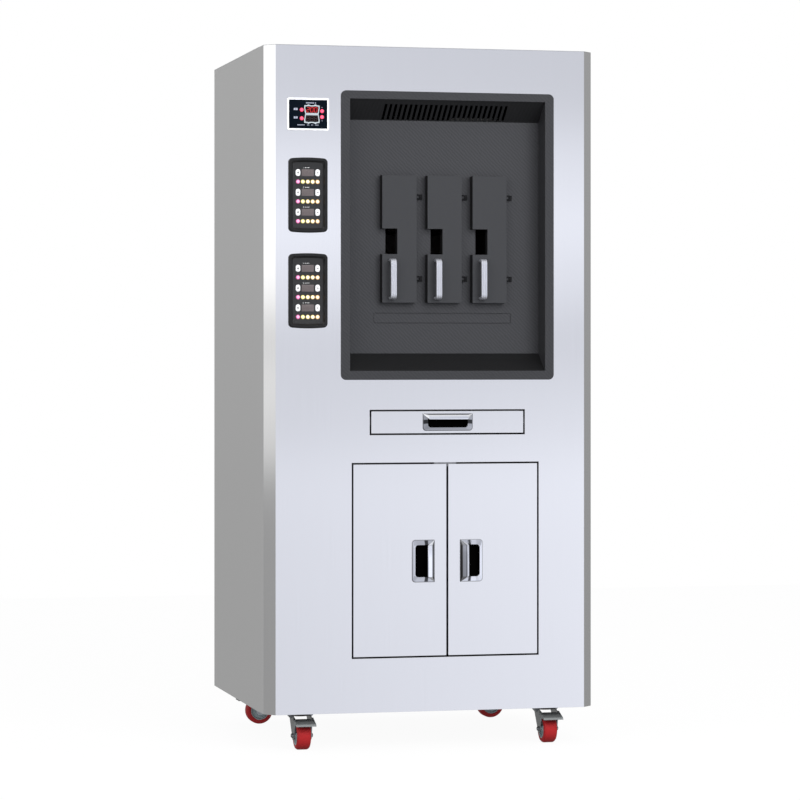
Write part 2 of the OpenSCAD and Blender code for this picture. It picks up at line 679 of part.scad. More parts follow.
// The hood: a wedge that rises from the plate's edge over the cup, closed by sloped cheeks
module pull_hood(length, height, hood, t) hull() {
    translate([-length / 2 + t, -pull_plate + 0.1, height / 2 - hood + (t > 0 ? -2 : 0)])
        cube([length - 2 * t, 0.1, hood - 1.5 * t + (t > 0 ? 2 : 0)]);
    translate([-length / 2 + pull_end, -hood_out + t, height / 2 - hood + (t > 0 ? -2 : 0)])
        cube([length - 2 * pull_end, 0.1, 3 + (t > 0 ? 1 - t : 0)]);
}

// A recessed pull with its hood along the top edge
module pull(x, z, turn, length, height, hood) translate([x, 0, z]) rotate([0, turn, 0]) {
    cup_z = (pull_side - hood) / 2;
    cup_h = height - hood - pull_side;
    cup_l = length - 2 * pull_end;
    difference() {
        union() {
            facing(0, 0, -pull_plate, 0) pull_outline(length, height);
            pull_hood(length, height, hood, 0);
            box(-cup_l / 2 - pull_wall, cup_l / 2 + pull_wall, -0.5, pull_depth,
                cup_z - cup_h / 2 - pull_wall, height / 2 - 5);
        }
        facing(0, cup_z, -pull_plate - 0.1, pull_depth - pull_wall) round_rect(cup_l, cup_h, 6);
        box(-cup_l / 2, cup_l / 2, -pull_plate, pull_depth - pull_wall, cup_z, height / 2 - 7);
        pull_hood(length, height, hood, 2);
    }
}

module drawer_pull() color([0.85, 0.86, 0.90]) at_front()
    pull(drawer_x, (drawer_z0 + drawer_z1) / 2, 0, drawer_pull_len, drawer_pull_h, drawer_hood_h);

door_pull_z = cupboard_z0 + door_pull_rise + door_pull_len / 2;
left_pull_x = cupboard_meet - door_pull_in - door_pull_h / 2;
right_pull_x = cupboard_meet + door_pull_in + door_pull_h / 2;

module left_door_pull() color([0.85, 0.86, 0.90]) at_front()
    pull(left_pull_x, door_pull_z, 90, door_pull_len, door_pull_h, door_hood_h);

module right_door_pull() color([0.85, 0.86, 0.90]) at_front()
    pull(right_pull_x, door_pull_z, -90, door_pull_len, door_pull_h, door_hood_h);

// ---------------------------------------------------------------- cupboard

door_z0 = cupboard_z0 + front_gap;
door_z1 = cupboard_z1 - front_gap;
meet_gap = 5.5;
pivot_block = 14;
pivot_len = 14;

// A cupboard door from its hinge side h to its free side f, with bored blocks for the pivot pins
module cupboard_door(h, f) difference() {
    into = sign(f - h);
    px = h + into * pivot_in;
    union() {
        pressed_tray(min(h, f), max(h, f), 0, front_t, door_z0, door_z1);
        for (z = [door_z0, door_z1 - pivot_block - 2])
            box(min(h, h + into * pivot_block), max(h, h + into * pivot_block), sheet / 2, pivot_in + 6, z,
                z + pivot_block + 2);
    }
    for (z = [door_z0 - 1, door_z1 - pivot_len + 1])
        translate([px, pivot_in, z]) cylinder(r = pivot_r + run_fit, h = pivot_len);
}

left_hinge_x = cupboard_left + front_gap;
right_hinge_x = cupboard_right - front_gap;

module left_door() color([0.87, 0.88, 0.90]) at_front() difference() {
    cupboard_door(left_hinge_x, cupboard_meet - meet_gap / 2);
    pull_cut(left_pull_x, door_pull_z, 90, door_pull_len, door_pull_h);
}

module right_door() color([0.87, 0.88, 0.90]) at_front() difference() {
    cupboard_door(right_hinge_x, cupboard_meet + meet_gap / 2);
    pull_cut(right_pull_x, door_pull_z, -90, door_pull_len, door_pull_h);
}

module cupboard_liner() color([0.66, 0.67, 0.68]) at_front() {
    difference() {
        box(cupboard_left - sheet, cupboard_right + sheet, fold_d, liner_y1, cupboard_z0 - sheet, cupboard_z1 + sheet);
        box(cupboard_left, cupboard_right, fold_d - 1, liner_y1 - sheet, cupboard_z0, cupboard_z1);
    }
    for (x = [cupboard_left - sheet, cupboard_right]) box(x, x + sheet, 60, liner_y1, pan_z1, cupboard_z0);
    // Magnetic catch above the line where the doors meet
    box(cupboard_meet - 30, cupboard_meet + 30, fold_d + 1, fold_d + 14, cupboard_z1 - 12, cupboard_z1);
}

// A pivot pin on a small foot, standing up from z towards the door
module pivot_pin(x) {
    foot = front_gap - 1.2;
    box(x - pivot_in + 0.5, x + pivot_in + 14, 1, 12, 0, foot);
    translate([x, pivot_in, 0]) cylinder(r = pivot_r, h = front_gap + pivot_len - 3);
}

// A roasting door's hinge: a plate on the back wall, two lugs and the pin through them
module roast_hinge() {
    span = knuckle_t + 2 * knuckle_gap + 2 * lug_t;
    for (z = [-span / 2, span / 2 - lug_t]) translate([0, 0, z]) {
        cylinder(r = 4.4, h = lug_t);
        box(-4.4, 6, 0, roast_axis_back, 0, lug_t);
    }
    box(-4.4, 16, roast_axis_back - 2, roast_axis_back, -span / 2, span / 2);
    translate([0, 0, -span / 2]) cylinder(r = roast_pin_r, h = span);
    rod_y(11.5, 0, 3.6, roast_axis_back - 4.5, roast_axis_back - 1);
}

function roast_axis_x(i) = roast_x(i) + roast_door_w / 2 + roast_axis_out;

module door_hinges() color([0.10, 0.10, 0.10]) at_front() {
    for (i = [0 : roast_n - 1], z = roast_hinge_rise)
        translate([roast_axis_x(i), hearth_d - roast_axis_back, roast_door_z0 + z]) roast_hinge();
    for (top = [0, 1]) translate([0, 0, top ? cupboard_z1 : cupboard_z0]) mirror([0, 0, top]) {
        pivot_pin(left_hinge_x + pivot_in);
        translate([right_hinge_x - pivot_in, 0, 0]) mirror([1, 0, 0]) pivot_pin(0);
    }
}

// ---------------------------------------------------------------- roasting doors

module roast_door(i) color([0.25, 0.25, 0.26]) at_front() {
    x0 = roast_x(i) - roast_door_w / 2;
    x1 = roast_x(i) + roast_door_w / 2;
    notch_z0 = roast_door_z0 + notch_rise;
    y1 = roast_door_y0 + roast_door_t;
    difference() {
        box(x0, x1, roast_door_y0, y1, roast_door_z0, roast_door_z0 + roast_door_h);
        box(x0 - 1, x0 + notch_w, roast_door_y0 - 1, y1 + 1, notch_z0, notch_z0 + notch_h);
        // The hollow of the pressed tray, in three parts round the notch
        box(x0 + sheet, x1 - sheet, roast_door_y0 + sheet, y1 + 1, roast_door_z0 + sheet, notch_z0 - sheet);
        box(x0 + notch_w + sheet, x1 - sheet, roast_door_y0 + sheet, y1 + 1, roast_door_z0 + sheet,
            roast_door_z0 + roast_door_h - sheet);
        box(x0 + sheet, x1 - sheet, roast_door_y0 + sheet, y1 + 1, notch_z0 + notch_h + sheet,
            roast_door_z0 + roast_door_h - sheet);
    }
    for (z = roast_hinge_rise)
        translate([roast_axis_x(i), hearth_d - roast_axis_back, roast_door_z0 + z - knuckle_t / 2]) difference() {
            union() {
                cylinder(r = 4.2, h = knuckle_t);
                box(-roast_axis_out - sheet, 0, -3, 4.2, 0, knuckle_t);
            }
            translate([0, 0, -1]) cylinder(r = roast_pin_r + run_fit, h = knuckle_t + 2);
        }
}

// Side view of a bow handle: a strap that leaves the door, turns down and comes back
module bow_side(out, length) difference() {
    translate([roast_door_y0 - out, 0]) square([out + 20, length]);
    for (end = [0, 1]) translate([roast_door_y0 - out, end * length]) mirror([0, end]) difference() {
        translate([-1, -1]) square([15, 15]);
        translate([14, 14]) circle(14);
    }
}

module roast_handle(i) color([0.82, 0.83, 0.88]) at_front() {
    x = roast_x(i) - roast_door_w / 2 + bow_in;
    z = roast_door_z0 + bow_rise;
    difference() {
        translate([0, 0, z]) along_x(x - bow_w / 2, x + bow_w / 2) intersection() {
            difference() {
                bow_side(bow_out, bow_len);
                translate([0, bow_t]) bow_side(bow_out - bow_t, bow_len - 2 * bow_t);
            }
            translate([0, 0]) square([roast_door_y0, bow_len]);
        }
        // Two grooves down the grip
        for (g = [-1, 1]) translate([0, 0, z]) along_x(x + g * bow_w / 6 - 0.6, x + g * bow_w / 6 + 0.6) difference() {
            translate([-1, -1]) square([roast_door_y0 - 2, bow_len + 2]);
            translate([0, 1]) bow_side(bow_out - 1, bow_len - 2);
        }
    }
}

// ---------------------------------------------------------------- controls

module temperature_controller() color([0.93, 0.93, 0.93]) at_front() {
    facing(control_x, controller_z, -3, 0) round_rect(controller_w, controller_h, 5);
    box(control_x - controller_w / 2 + 9, control_x + controller_w / 2 - 9, -1, 62,
        controller_z - controller_h / 2 + 9, controller_z + controller_h / 2 - 9);
    facing(control_x, controller_z, -4, -2)
        round_rect(controller_w - 2 * controller_rim, controller_h - 2 * controller_rim, 2);
    for (p = [[-17.4, 11.1], [-17.4, -11.4], [37.1, 8.4], [37.1, -7.4]])
        rod_y(control_x + p[0], controller_z + p[1], 5.2, -5, -3);
}

// A rectangle with round corners whose top and bottom edges bow outwards
module bowed_rect(w, h, r, bow) {
    arc = w * w / (8 * bow) + bow / 2;
    intersection() {
        round_rect(w, h, r);
        translate([0, h / 2 - arc]) circle(arc, $fn = 180);
        translate([0, arc - h / 2]) circle(arc, $fn = 180);
    }
}

function row_z(k) = timer_row * (1 - k) + 7;

module timer_housing() difference() {
    union() {
        facing(0, 0, -timer_proud, 0) bowed_rect(timer_w, timer_h, 10, 3);
        box(-timer_w / 2 + timer_case_in, timer_w / 2 - timer_case_in, -1, timer_case_d,
            -timer_h / 2 + timer_case_in, timer_h / 2 - timer_case_in);
    }
    facing(0, 0, -timer_proud - 1, timer_floor_y)
        round_rect(timer_w - 2 * timer_wall, timer_h - 2 * timer_wall + 4, 4);
    box(-timer_w / 2 + timer_case_in + 2, timer_w / 2 - timer_case_in - 2, timer_floor_y + 2, timer_case_d - 2,
        -timer_h / 2 + timer_case_in + 2, timer_h / 2 - timer_case_in - 2);
    for (k = [0 : timers_per_panel - 1], s = [-1, 1])
        facing(s * key_x, row_z(k), timer_floor_y - 1, timer_floor_y + 3)
            round_rect(key_w + 2 * slide_fit, key_h + 2 * slide_fit, key_r + slide_fit);
}

module timer_housings() color([0.16, 0.16, 0.17]) at_front()
    for (p = [0, 1]) translate([control_x, 0, timer_z + p * timer_pitch]) timer_housing();

module timer_indicators() color([0.85, 0.70, 0.35]) at_front()
    for (p = [0, 1], k = [0 : timers_per_panel - 1]) translate([control_x, 0, timer_z + p * timer_pitch + row_z(k)]) {
        facing(0, 0, timer_floor_y - 0.8, timer_floor_y) square([display_w, display_h], center = true);
        for (i = [-2 : 2]) rod_y(i * lamp_pitch, -lamp_drop, lamp_r, timer_floor_y - 1.2, timer_floor_y);
    }

// Timers count from the top of the upper panel; a key has a retaining flange behind the panel's face
module timer_key(t, s) color([0.92, 0.92, 0.92]) at_front() {
    panel = t <= timers_per_panel ? 1 : 0;
    k = (t - 1) % timers_per_panel;
    z = timer_z + panel * timer_pitch + row_z(k);
    facing(control_x + s * key_x, z, timer_floor_y - 1.8, timer_floor_y + 2.3) round_rect(key_w, key_h, key_r);
    facing(control_x + s * key_x, z, timer_floor_y + 2.2, timer_floor_y + 2.2 + key_flange)
        round_rect(key_w + 3, key_h + 3, key_r);
}

gear_y = 150;
gear_d = 330;
gear_rise = 620;
gear_h = 280;
contactor_n = 3;
contactor_y = 20;
contactor_pitch = 75;
contactor_w = 55;
contactor_rise = 150;
contactor_h = 80;
contactor_out = 70;
contactor_head = 14;
terminal_rise = 40;
terminal_h = 40;
terminal_out = 38;

// Contactors over a terminal block, on a plate against the left side
module switchgear() color([0.80, 0.80, 0.76]) at_front() {
    x0 = sheet - half_w;
    z0 = body_z0 + gear_rise;
    box(x0, x0 + 2, gear_y, gear_y + gear_d, z0, z0 + gear_h);
    for (i = [0 : contactor_n - 1]) {
        y = gear_y + contactor_y + i * contactor_pitch;
        box(x0 + 1, x0 + contactor_out, y, y + contactor_w, z0 + contactor_rise, z0 + contactor_rise + contactor_h);
        box(x0 + contactor_out, x0 + contactor_out + contactor_head, y + 10, y + contactor_w - 10,
            z0 + contactor_rise + 15, z0 + contactor_rise + contactor_h - 15);
    }
    box(x0 + 1, x0 + terminal_out, gear_y + contactor_y, gear_y + gear_d - 2 * contactor_y,
        z0 + terminal_rise, z0 + terminal_rise + terminal_h);
}

module cable_gland() color([0.18, 0.18, 0.18]) at_front() difference() {
    union() {
        rod_y(gland_x, gland_z, gland_thread_r, body_d - 10, body_d + 1);
        rod_y(gland_x, gland_z, 13, body_d - 6, body_d - sheet);
        rod_y(gland_x, gland_z, 14, body_d, body_d + 8);
        translate([gland_x, body_d + 8, gland_z]) rotate([-90, 0, 0]) cylinder(r1 = 13, r2 = 9, h = gland_out - 8);
    }
    rod_y(gland_x, gland_z, 6, body_d - 11, body_d + gland_out + 1);
}

// ---------------------------------------------------------------- castors
// Drawn about the swivel axis, with the top plate's upper face at z = 0 and the wheel trailing towards -Y

plate_t = 3;
race_r = 24;
race_z = -17.3;
crown_gap = 0.3;
crown_floor = 3;
crown_r = 28;
crown_rim_r = 38;
crown_rim_h = 2;
crown_z1 = race_z - crown_gap;
crown_z0 = crown_z1 - crown_floor;
kingpin_r = 6;
axle_z = wheel_d / 2 - castor_h;
hub_boss = 2;
leg_in = tyre_w / 2 + hub_boss + pass_gap;
leg_t = 2.5;
leg_out = leg_in + leg_t;
leg_back_y = 20;
leg_boss_r = 12;
flare_y = 30;
flare_z0 = -28;
pedal_y = -48;
pedal_z = -28;
pedal_pin_r = 3;
pin_boss_r = 5;

module place_castor(c) translate([c[1], front_y + c[2], castor_h]) rotate([0, 0, c[3]]) children();

module castor_plates() color([0.66, 0.67, 0.68]) for (c = castors) place_castor(c) {
    translate([0, 0, -plate_t]) linear_extrude(plate_t) round_rect(95, 70, 6);
    for (x = [-38, 38], y = [-25, 25]) translate([x, y, -plate_t - 4.5]) cylinder(r = 6, h = 5);
    translate([0, 0, -11]) cylinder(r = 30, h = 11 - plate_t);
    translate([0, 0, race_z]) cylinder(r = race_r, h = -plate_t - race_z);
    translate([0, 0, crown_z0 - 1]) cylinder(r = kingpin_r, h = race_z - crown_z0 + 2);
    translate([0, 0, crown_z0 - crown_gap - 1.5]) cylinder(r = kingpin_r + 2.5, h = 1.5);
}

// Side view of a fork leg, from the crown past the pedal's pin to the round end at the axle
module leg_side() {
    translate([-trail, axle_z]) circle(leg_boss_r);
    translate([pedal_y, pedal_z]) circle(pin_boss_r);
    polygon([[leg_back_y, crown_z1], [-24, crown_z1], [pedal_y, pedal_z + pin_boss_r],
             [pedal_y - pin_boss_r, pedal_z - 1], [-trail - leg_boss_r, axle_z], [-trail, axle_z - 6],
             [-trail + leg_boss_r, axle_z]]);
}

// The crown is a dish round the race, with a leg down each side
module castor_fork() {
    rotate_extrude() polygon([
        [kingpin_r + run_fit, crown_z0], [crown_r, crown_z0], [crown_rim_r, crown_z1 + crown_rim_h],
        [crown_rim_r - 3, crown_z1 + crown_rim_h], [crown_r - 2, crown_z1], [kingpin_r + run_fit, crown_z1]]);
    for (side = [-1, 1]) along_x(side > 0 ? leg_in : -leg_out, side > 0 ? leg_out : -leg_in) leg_side();
    translate([-leg_out - 5, -trail, axle_z]) rotate([0, 90, 0]) cylinder(r = axle_r, h = 2 * (leg_out + 5));
    for (side = [0, 1]) mirror([side, 0, 0]) {
        translate([leg_out, -trail, axle_z]) rotate([0, 90, 0]) cylinder(r = 6, h = 3.5);
        translate([leg_out - 1, pedal_y, pedal_z]) rotate([0, 90, 0]) cylinder(r = pedal_pin_r, h = 4.5);
        // The leg flares out into the dish's rim
        translate([0, flare_y / 2, 0]) rotate([90, 0, 0]) linear_extrude(flare_y)
            polygon([[leg_in, crown_z1], [crown_rim_r - 2, crown_z1 + crown_rim_h], [leg_out, flare_z0],
                     [leg_in, flare_z0]]);
    }
}

// Half sections of the tyre and of the hub it grips, turned about the axle
tyre_in_r = 26;

module tyre_half() polygon([
    [tyre_in_r, 0], [tyre_in_r, tyre_w / 2 - 3], [tyre_in_r + 4, tyre_w / 2], [tyre_in_r + 7, tyre_w / 2 - 1],
    [wheel_d / 2 - 1.5, tyre_w / 2 - 5], [wheel_d / 2, tyre_w / 2 - 8], [wheel_d / 2, 0]]);

module hub_half() polygon([
    [axle_r + run_fit, 0], [axle_r + run_fit, tyre_w / 2 + hub_boss], [10, tyre_w / 2 + hub_boss],
    [10, tyre_w / 2 - 2], [13, tyre_w / 2 - 6], [22, tyre_w / 2 - 6], [23.5, tyre_w / 2 - 1],
    [tyre_in_r + 1, tyre_w / 2 - 1], [tyre_in_r + 1, 0]]);

module castor_wheel() translate([0, -trail, axle_z]) rotate([0, 90, 0])
    rotate_extrude($fn = 72) for (side = [0, 1]) mirror([0, side]) {
        tyre_half();
        hub_half();
    }

// Side view of the brake pedal's tread, a plate that slopes down in front of the wheel and turns down at its tip
tread_t = 2.5;
tread_back = [-42, -26];
tread_bend = [-88, -35.5];
tread_tip = [-92, -41];
ear_t = 2;
ear_in = leg_out + 0.6;
tread_half_w = ear_in + ear_t;
shoe_half_w = 11;

module tread_side() polygon([
    tread_back, tread_bend, tread_tip, tread_tip + [tread_t, 0], tread_bend + [1, -tread_t],
    tread_back - [0, tread_t]]);

// Side view of an ear, from round the pin to the tread's tip
module ear_side() {
    translate([pedal_y, pedal_z]) circle(pin_boss_r + 1);
    polygon([[pedal_y, pedal_z + pin_boss_r + 1], tread_bend, tread_tip, tread_tip + [9, 1],
             [pedal_y - 8, pedal_z - 9], [pedal_y, pedal_z - pin_boss_r - 1]]);
}

module brake_pedal() {
    along_x(-leg_in + pass_gap, leg_in - pass_gap) tread_side();
    along_x(-tread_half_w, tread_half_w) intersection() {
        tread_side();
        translate([tread_tip[0] - 1, tread_tip[1] - 1]) square([pedal_y - 8 - tread_tip[0], 30]);
    }
    for (side = [0, 1]) mirror([side, 0, 0]) difference() {
        along_x(ear_in, ear_in + ear_t) ear_side();
        translate([ear_in - 1, pedal_y, pedal_z]) rotate([0, 90, 0])
            cylinder(r = pedal_pin_r + run_fit, h = ear_t + 2);
    }
    // Shoe that meets the tyre when the pedal is down
    translate([-shoe_half_w, -72, -43]) cube([2 * shoe_half_w, 10, 10.6]);
}

// ---------------------------------------------------------------- nodes

if (wanted("front_panel")) front_panel();
if (wanted("left_side_panel")) left_side_panel();
if (wanted("right_side_panel")) right_side_panel();
if (wanted("back_panel")) back_panel();
if (wanted("top_panel")) top_panel();
if (wanted("base_frame")) base_frame();
if (wanted("hearth_recess")) hearth_recess();
if (wanted("roasting_chamber")) roasting_chamber();
if (wanted("chamber_insulation")) chamber_insulation();
if (wanted("heating_elements")) heating_elements();
if (wanted("temperature_probe")) temperature_probe();
if (wanted("fume_duct")) fume_duct();
if (wanted("drip_chute")) drip_chute();
if (wanted("cupboard_liner")) cupboard_liner();
if (wanted("switchgear")) switchgear();
if (wanted("cable_gland")) cable_gland();
if (wanted("temperature_controller")) temperature_controller();
if (wanted("timer_housings")) timer_housings();
if (wanted("timer_indicators")) timer_indicators();
if (wanted("drawer_rails")) drawer_rails();
if (wanted("door_hinges")) door_hinges();
if (wanted("panel_screws")) panel_screws();
if (wanted("castor_plates")) castor_plates();
if (wanted("drawer_front")) drawer_front();
if (wanted("drawer_tray")) drawer_tray();
if (wanted("drawer_pull")) drawer_pull();
if (wanted("left_door")) left_door();
if (wanted("right_door")) right_door();
if (wanted("left_door_pull")) left_door_pull();
if (wanted("right_door_pull")) right_door_pull();
for (i = [0 : roast_n - 1]) {
    if (wanted(str("roast_door_", i + 1))) roast_door(i);
    if (wanted(str("roast_handle_", i + 1))) roast_handle(i);
}
for (t = [1 : 2 * timers_per_panel], s = [0, 1])
    if (wanted(str("timer_", t, "_", signs[s], "_key"))) timer_key(t, 2 * s - 1);
for (c = castors) {
    if (wanted(str("castor_fork_", c[0]))) color([0.42, 0.43, 0.43]) place_castor(c) castor_fork();
    if (wanted(str("castor_wheel_", c[0]))) color([0.68, 0.13, 0.13]) place_castor(c) castor_wheel();
    if (wanted(str("brake_pedal_", c[0]))) color([0.40, 0.42, 0.42]) place_castor(c) brake_pedal();
}
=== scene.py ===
"""Electric fish roaster: a stainless cabinet with a black hearth, three roasting doors, a drip drawer, a
two-door cupboard, control panels and castors. Metres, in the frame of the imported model."""
import json
import math

import bmesh
import bpy
from mathutils import Matrix, Vector


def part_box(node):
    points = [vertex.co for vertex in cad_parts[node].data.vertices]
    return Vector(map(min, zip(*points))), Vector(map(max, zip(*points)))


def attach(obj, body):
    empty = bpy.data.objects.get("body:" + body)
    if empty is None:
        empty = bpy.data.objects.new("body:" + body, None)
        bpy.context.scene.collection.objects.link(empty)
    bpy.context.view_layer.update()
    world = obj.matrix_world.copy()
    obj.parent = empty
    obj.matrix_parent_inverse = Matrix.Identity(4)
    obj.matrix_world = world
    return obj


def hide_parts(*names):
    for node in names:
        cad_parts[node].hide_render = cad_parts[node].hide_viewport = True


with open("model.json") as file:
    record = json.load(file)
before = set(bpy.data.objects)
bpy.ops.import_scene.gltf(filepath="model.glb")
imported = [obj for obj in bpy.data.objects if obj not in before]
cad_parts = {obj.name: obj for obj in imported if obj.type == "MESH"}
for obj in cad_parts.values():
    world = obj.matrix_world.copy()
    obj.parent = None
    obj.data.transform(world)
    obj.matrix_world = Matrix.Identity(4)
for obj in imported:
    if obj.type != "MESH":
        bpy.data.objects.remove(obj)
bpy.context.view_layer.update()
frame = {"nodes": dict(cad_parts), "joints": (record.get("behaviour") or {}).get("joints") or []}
nodes = frame["nodes"]
scene = bpy.context.scene

MM = 0.001
# The cabinet's front plane
FRONT_Y = -0.3875

# ---------------------------------------------------------------- camera

VIEWER = (-1.9863, -8.3880, 1.0413)
VIEW_TURN = 13.36
LENS = 139.8
LENS_SHIFT = -0.0546

camera_data = bpy.data.cameras.new("camera")
camera_data.sensor_width = 36
camera_data.lens = LENS
camera_data.shift_y = LENS_SHIFT
camera = bpy.data.objects.new("camera", camera_data)
camera.location = VIEWER
camera.rotation_euler = (math.radians(90), 0, math.radians(-VIEW_TURN))
scene.collection.objects.link(camera)
scene.camera = camera
scene.view_settings.view_transform = "Standard"

# ---------------------------------------------------------------- shader nodes

WHITE = (1.0, 1.0, 1.0, 1.0)
X_AXIS, Y_AXIS, Z_AXIS = 0, 1, 2


class Tree:
    """A node tree whose nodes take numbers or the sockets of other nodes."""

    def __init__(self, tree):
        self.tree = tree
        tree.nodes.clear()

    def node(self, kind, inputs=(), **settings):
        made = self.tree.nodes.new(kind)
        for key, value in settings.items():
            setattr(made, key, value)
        for key, value in dict(inputs).items():
            self.put(made.inputs[key], value)
        return made

    def put(self, socket, value):
        if isinstance(value, bpy.types.NodeSocket):
            self.tree.links.new(value, socket)
        else:
            socket.default_value = value

    def math(self, operation, a, b=0.0, c=0.0, clamp=False):
        made = self.node("ShaderNodeMath", operation=operation, use_clamp=clamp)
        for socket, value in zip(made.inputs, (a, b, c)):
            self.put(socket, value)
        return made.outputs[0]

    def times(self, a, b):
        return self.math("MULTIPLY", a, b)

    def vary(self, value, reach, least):
        """least where value is 0, and reach more where it is 1."""
        return self.math("MULTIPLY_ADD", value, reach, least)

    def dot(self, a, b):
        made = self.node("ShaderNodeVectorMath", {0: a, 1: b}, operation="DOT_PRODUCT")
        return made.outputs["Value"]

    def scale(self, color, amount):
        return self.node("ShaderNodeVectorMath", {0: color, 3: amount}, operation="SCALE").outputs[0]

    def span(self, value, low, high, out_low=0.0, out_high=1.0, way="LINEAR"):
        """A rise from out_low to out_high while value goes from low to high."""
        made = self.node("ShaderNodeMapRange", {0: value, 1: low, 2: high, 3: out_low, 4: out_high},
                         interpolation_type=way)
        return made.outputs[0]

    def step(self, value, low, high, out_low=0.0, out_high=1.0):
        """The same rise with a soft start and end."""
        return self.span(value, low, high, out_low, out_high, "SMOOTHSTEP")

    def ramp(self, value, stops):
        """A grey that follows stops, pairs of a place and a brightness."""
        made = self.node("ShaderNodeValToRGB", {0: value})
        made.color_ramp.interpolation = "EASE"
        while len(made.color_ramp.elements) < len(stops):
            made.color_ramp.elements.new(1.0)
        for element, (place, grey) in zip(made.color_ramp.elements, stops):
            element.position = place
            element.color = (grey, grey, grey, 1)
        return made.outputs[0]

    def mix(self, factor, a, b):
        made = self.node("ShaderNodeMix", data_type="RGBA")
        for socket, value in zip((made.inputs[0], made.inputs[6], made.inputs[7]), (factor, a, b)):
            self.put(socket, value)
        return made.outputs[2]

    def place(self):
        """The point's place on its own piece."""
        return self.node("ShaderNodeTexCoord").outputs["Object"]

    def noise(self, place, scale, detail=2.0):
        return self.node("ShaderNodeTexNoise", {"Vector": place, "Scale": scale, "Detail": detail}).outputs[0]

    def part(self, vector, axis):
        return self.node("ShaderNodeSeparateXYZ", {0: vector}).outputs[axis]

    def facing(self, axis):
        """How far the surface faces along an axis, from -1 to 1."""
        return self.part(self.node("ShaderNodeTexCoord").outputs["Normal"], axis)

    def glow(self):
        """The number that the mesh carries at each point: a lamp's glow, and on the pulls' chrome a painted
        reflection.
        """
        return self.node("ShaderNodeAttribute", attribute_name="glow").outputs["Fac"]

    def seen(self):
        """1 where the camera sees something itself, 0 in its reflections and light."""
        return self.node("ShaderNodeLightPath").outputs["Is Camera Ray"]


def rgba(color):
    return (color[0], color[1], color[2], 1.0)


# ---------------------------------------------------------------- studio

# Where in the studio the front and its two bevels mirror, and the viewer's right
FRONT_MIRRORS = (0.243, -0.970, 0.0)
LEFT_BEVEL_MIRRORS = (-0.970, -0.243, 0.0)
RIGHT_BEVEL_MIRRORS = (0.960, 0.270, 0.0)
RIGHTWARDS = (0.970, 0.243, 0.0)
# Brightness of the studio in level bands, from BAND_REACH below the horizon at 0 to as far above it at 1
BAND_REACH = 0.2
FRONT_BANDS = [(0.0, 0.80), (0.25, 0.825), (0.33, 0.85), (0.40, 0.88), (0.455, 0.77), (0.515, 0.70),
               (0.56, 0.86), (0.605, 0.97), (0.65, 0.88), (0.71, 0.68), (1.0, 0.66)]
LEFT_BANDS = [(0.0, 0.24), (0.36, 0.27), (0.39, 0.29), (0.43, 0.57), (0.48, 0.65), (0.515, 0.55),
              (0.56, 0.90), (0.60, 1.0)]
LEFT_GAIN = 1.25
RIGHT_LOSS = -0.16
# How near to its mirrored direction each glow starts and is full
FRONT_FADE = (0.35, 0.9)
LEFT_FADE = (0.55, 0.92)
RIGHT_FADE = (0.55, 0.95)
# How much brighter the bands get to the right, below and above the horizon
LEAN_REACH = 0.15
LEAN_BELOW = 1.25
LEAN_ABOVE = -0.4
# The rest of the studio: brightness of its floor far down and near the horizon, and gains up from there
GROUND_LOW = 0.25
GROUND_HIGH = 0.372
HORIZON_GAIN = 0.045
SKY_GAIN = 0.45
COOL = (0.965, 0.99, 1.09, 1)


def make_world():
    """A pale studio: a broad soft light in bands behind the viewer, a bright one to the left above the
    horizon, greyer to the right and behind."""
    world = bpy.data.worlds.new("studio")
    world.use_nodes = True
    scene.world = world
    t = Tree(world.node_tree)
    way = t.node("ShaderNodeTexCoord").outputs["Generated"]
    height = t.part(way, Z_AXIS)
    ahead = t.step(t.dot(way, FRONT_MIRRORS), *FRONT_FADE)
    left = t.step(t.dot(way, LEFT_BEVEL_MIRRORS), *LEFT_FADE)
    right = t.step(t.dot(way, RIGHT_BEVEL_MIRRORS), *RIGHT_FADE)
    slant = t.span(t.dot(way, RIGHTWARDS), -LEAN_REACH, LEAN_REACH, -LEAN_REACH, LEAN_REACH)
    low_high = t.span(height, -BAND_REACH, BAND_REACH)
    bands = t.ramp(low_high, FRONT_BANDS)
    lean = t.times(slant, t.step(height, -0.03, 0.02, LEAN_BELOW, LEAN_ABOVE))
    left_bands = t.times(t.ramp(low_high, LEFT_BANDS), LEFT_GAIN)
    ground = t.math("ADD", t.step(height, -0.5, -0.1, GROUND_LOW, GROUND_HIGH),
                    t.step(height, -0.1, 0.12, 0.0, HORIZON_GAIN))
    sky = t.step(height, 0.1, 0.6, 0.0, SKY_GAIN)
    level = t.times(t.math("ADD", ground, sky), t.vary(right, RIGHT_LOSS, 1.0))
    level = t.math("ADD", level, t.times(left, t.math("SUBTRACT", left_bands, level)))
    level = t.math("ADD", level, t.times(ahead, t.math("SUBTRACT", t.math("ADD", bands, lean), level)))
    tinted = t.scale(t.mix(ahead, WHITE, COOL), level)
    color = t.mix(t.seen(), tinted, WHITE)
    shine = t.node("ShaderNodeBackground", {"Color": color, "Strength": 1.0})
    t.node("ShaderNodeOutputWorld", {"Surface": shine.outputs[0]})


def area_light(name, place, target, size, power):
    data = bpy.data.lights.new(name, "AREA")
    data.size = size
    data.energy = power
    lamp = bpy.data.objects.new(name, data)
    lamp.location = place
    lamp.rotation_euler = (Vector(target) - Vector(place)).to_track_quat("-Z", "Y").to_euler()
    lamp.visible_glossy = False
    lamp.visible_camera = False
    scene.collection.objects.link(lamp)


FLOOR_HALF = 5.0
# Share of the floor's look that takes shadows, and how much light the floor throws up
FLOOR_SHADOW = 0.05
FLOOR_BOUNCE = 0.32


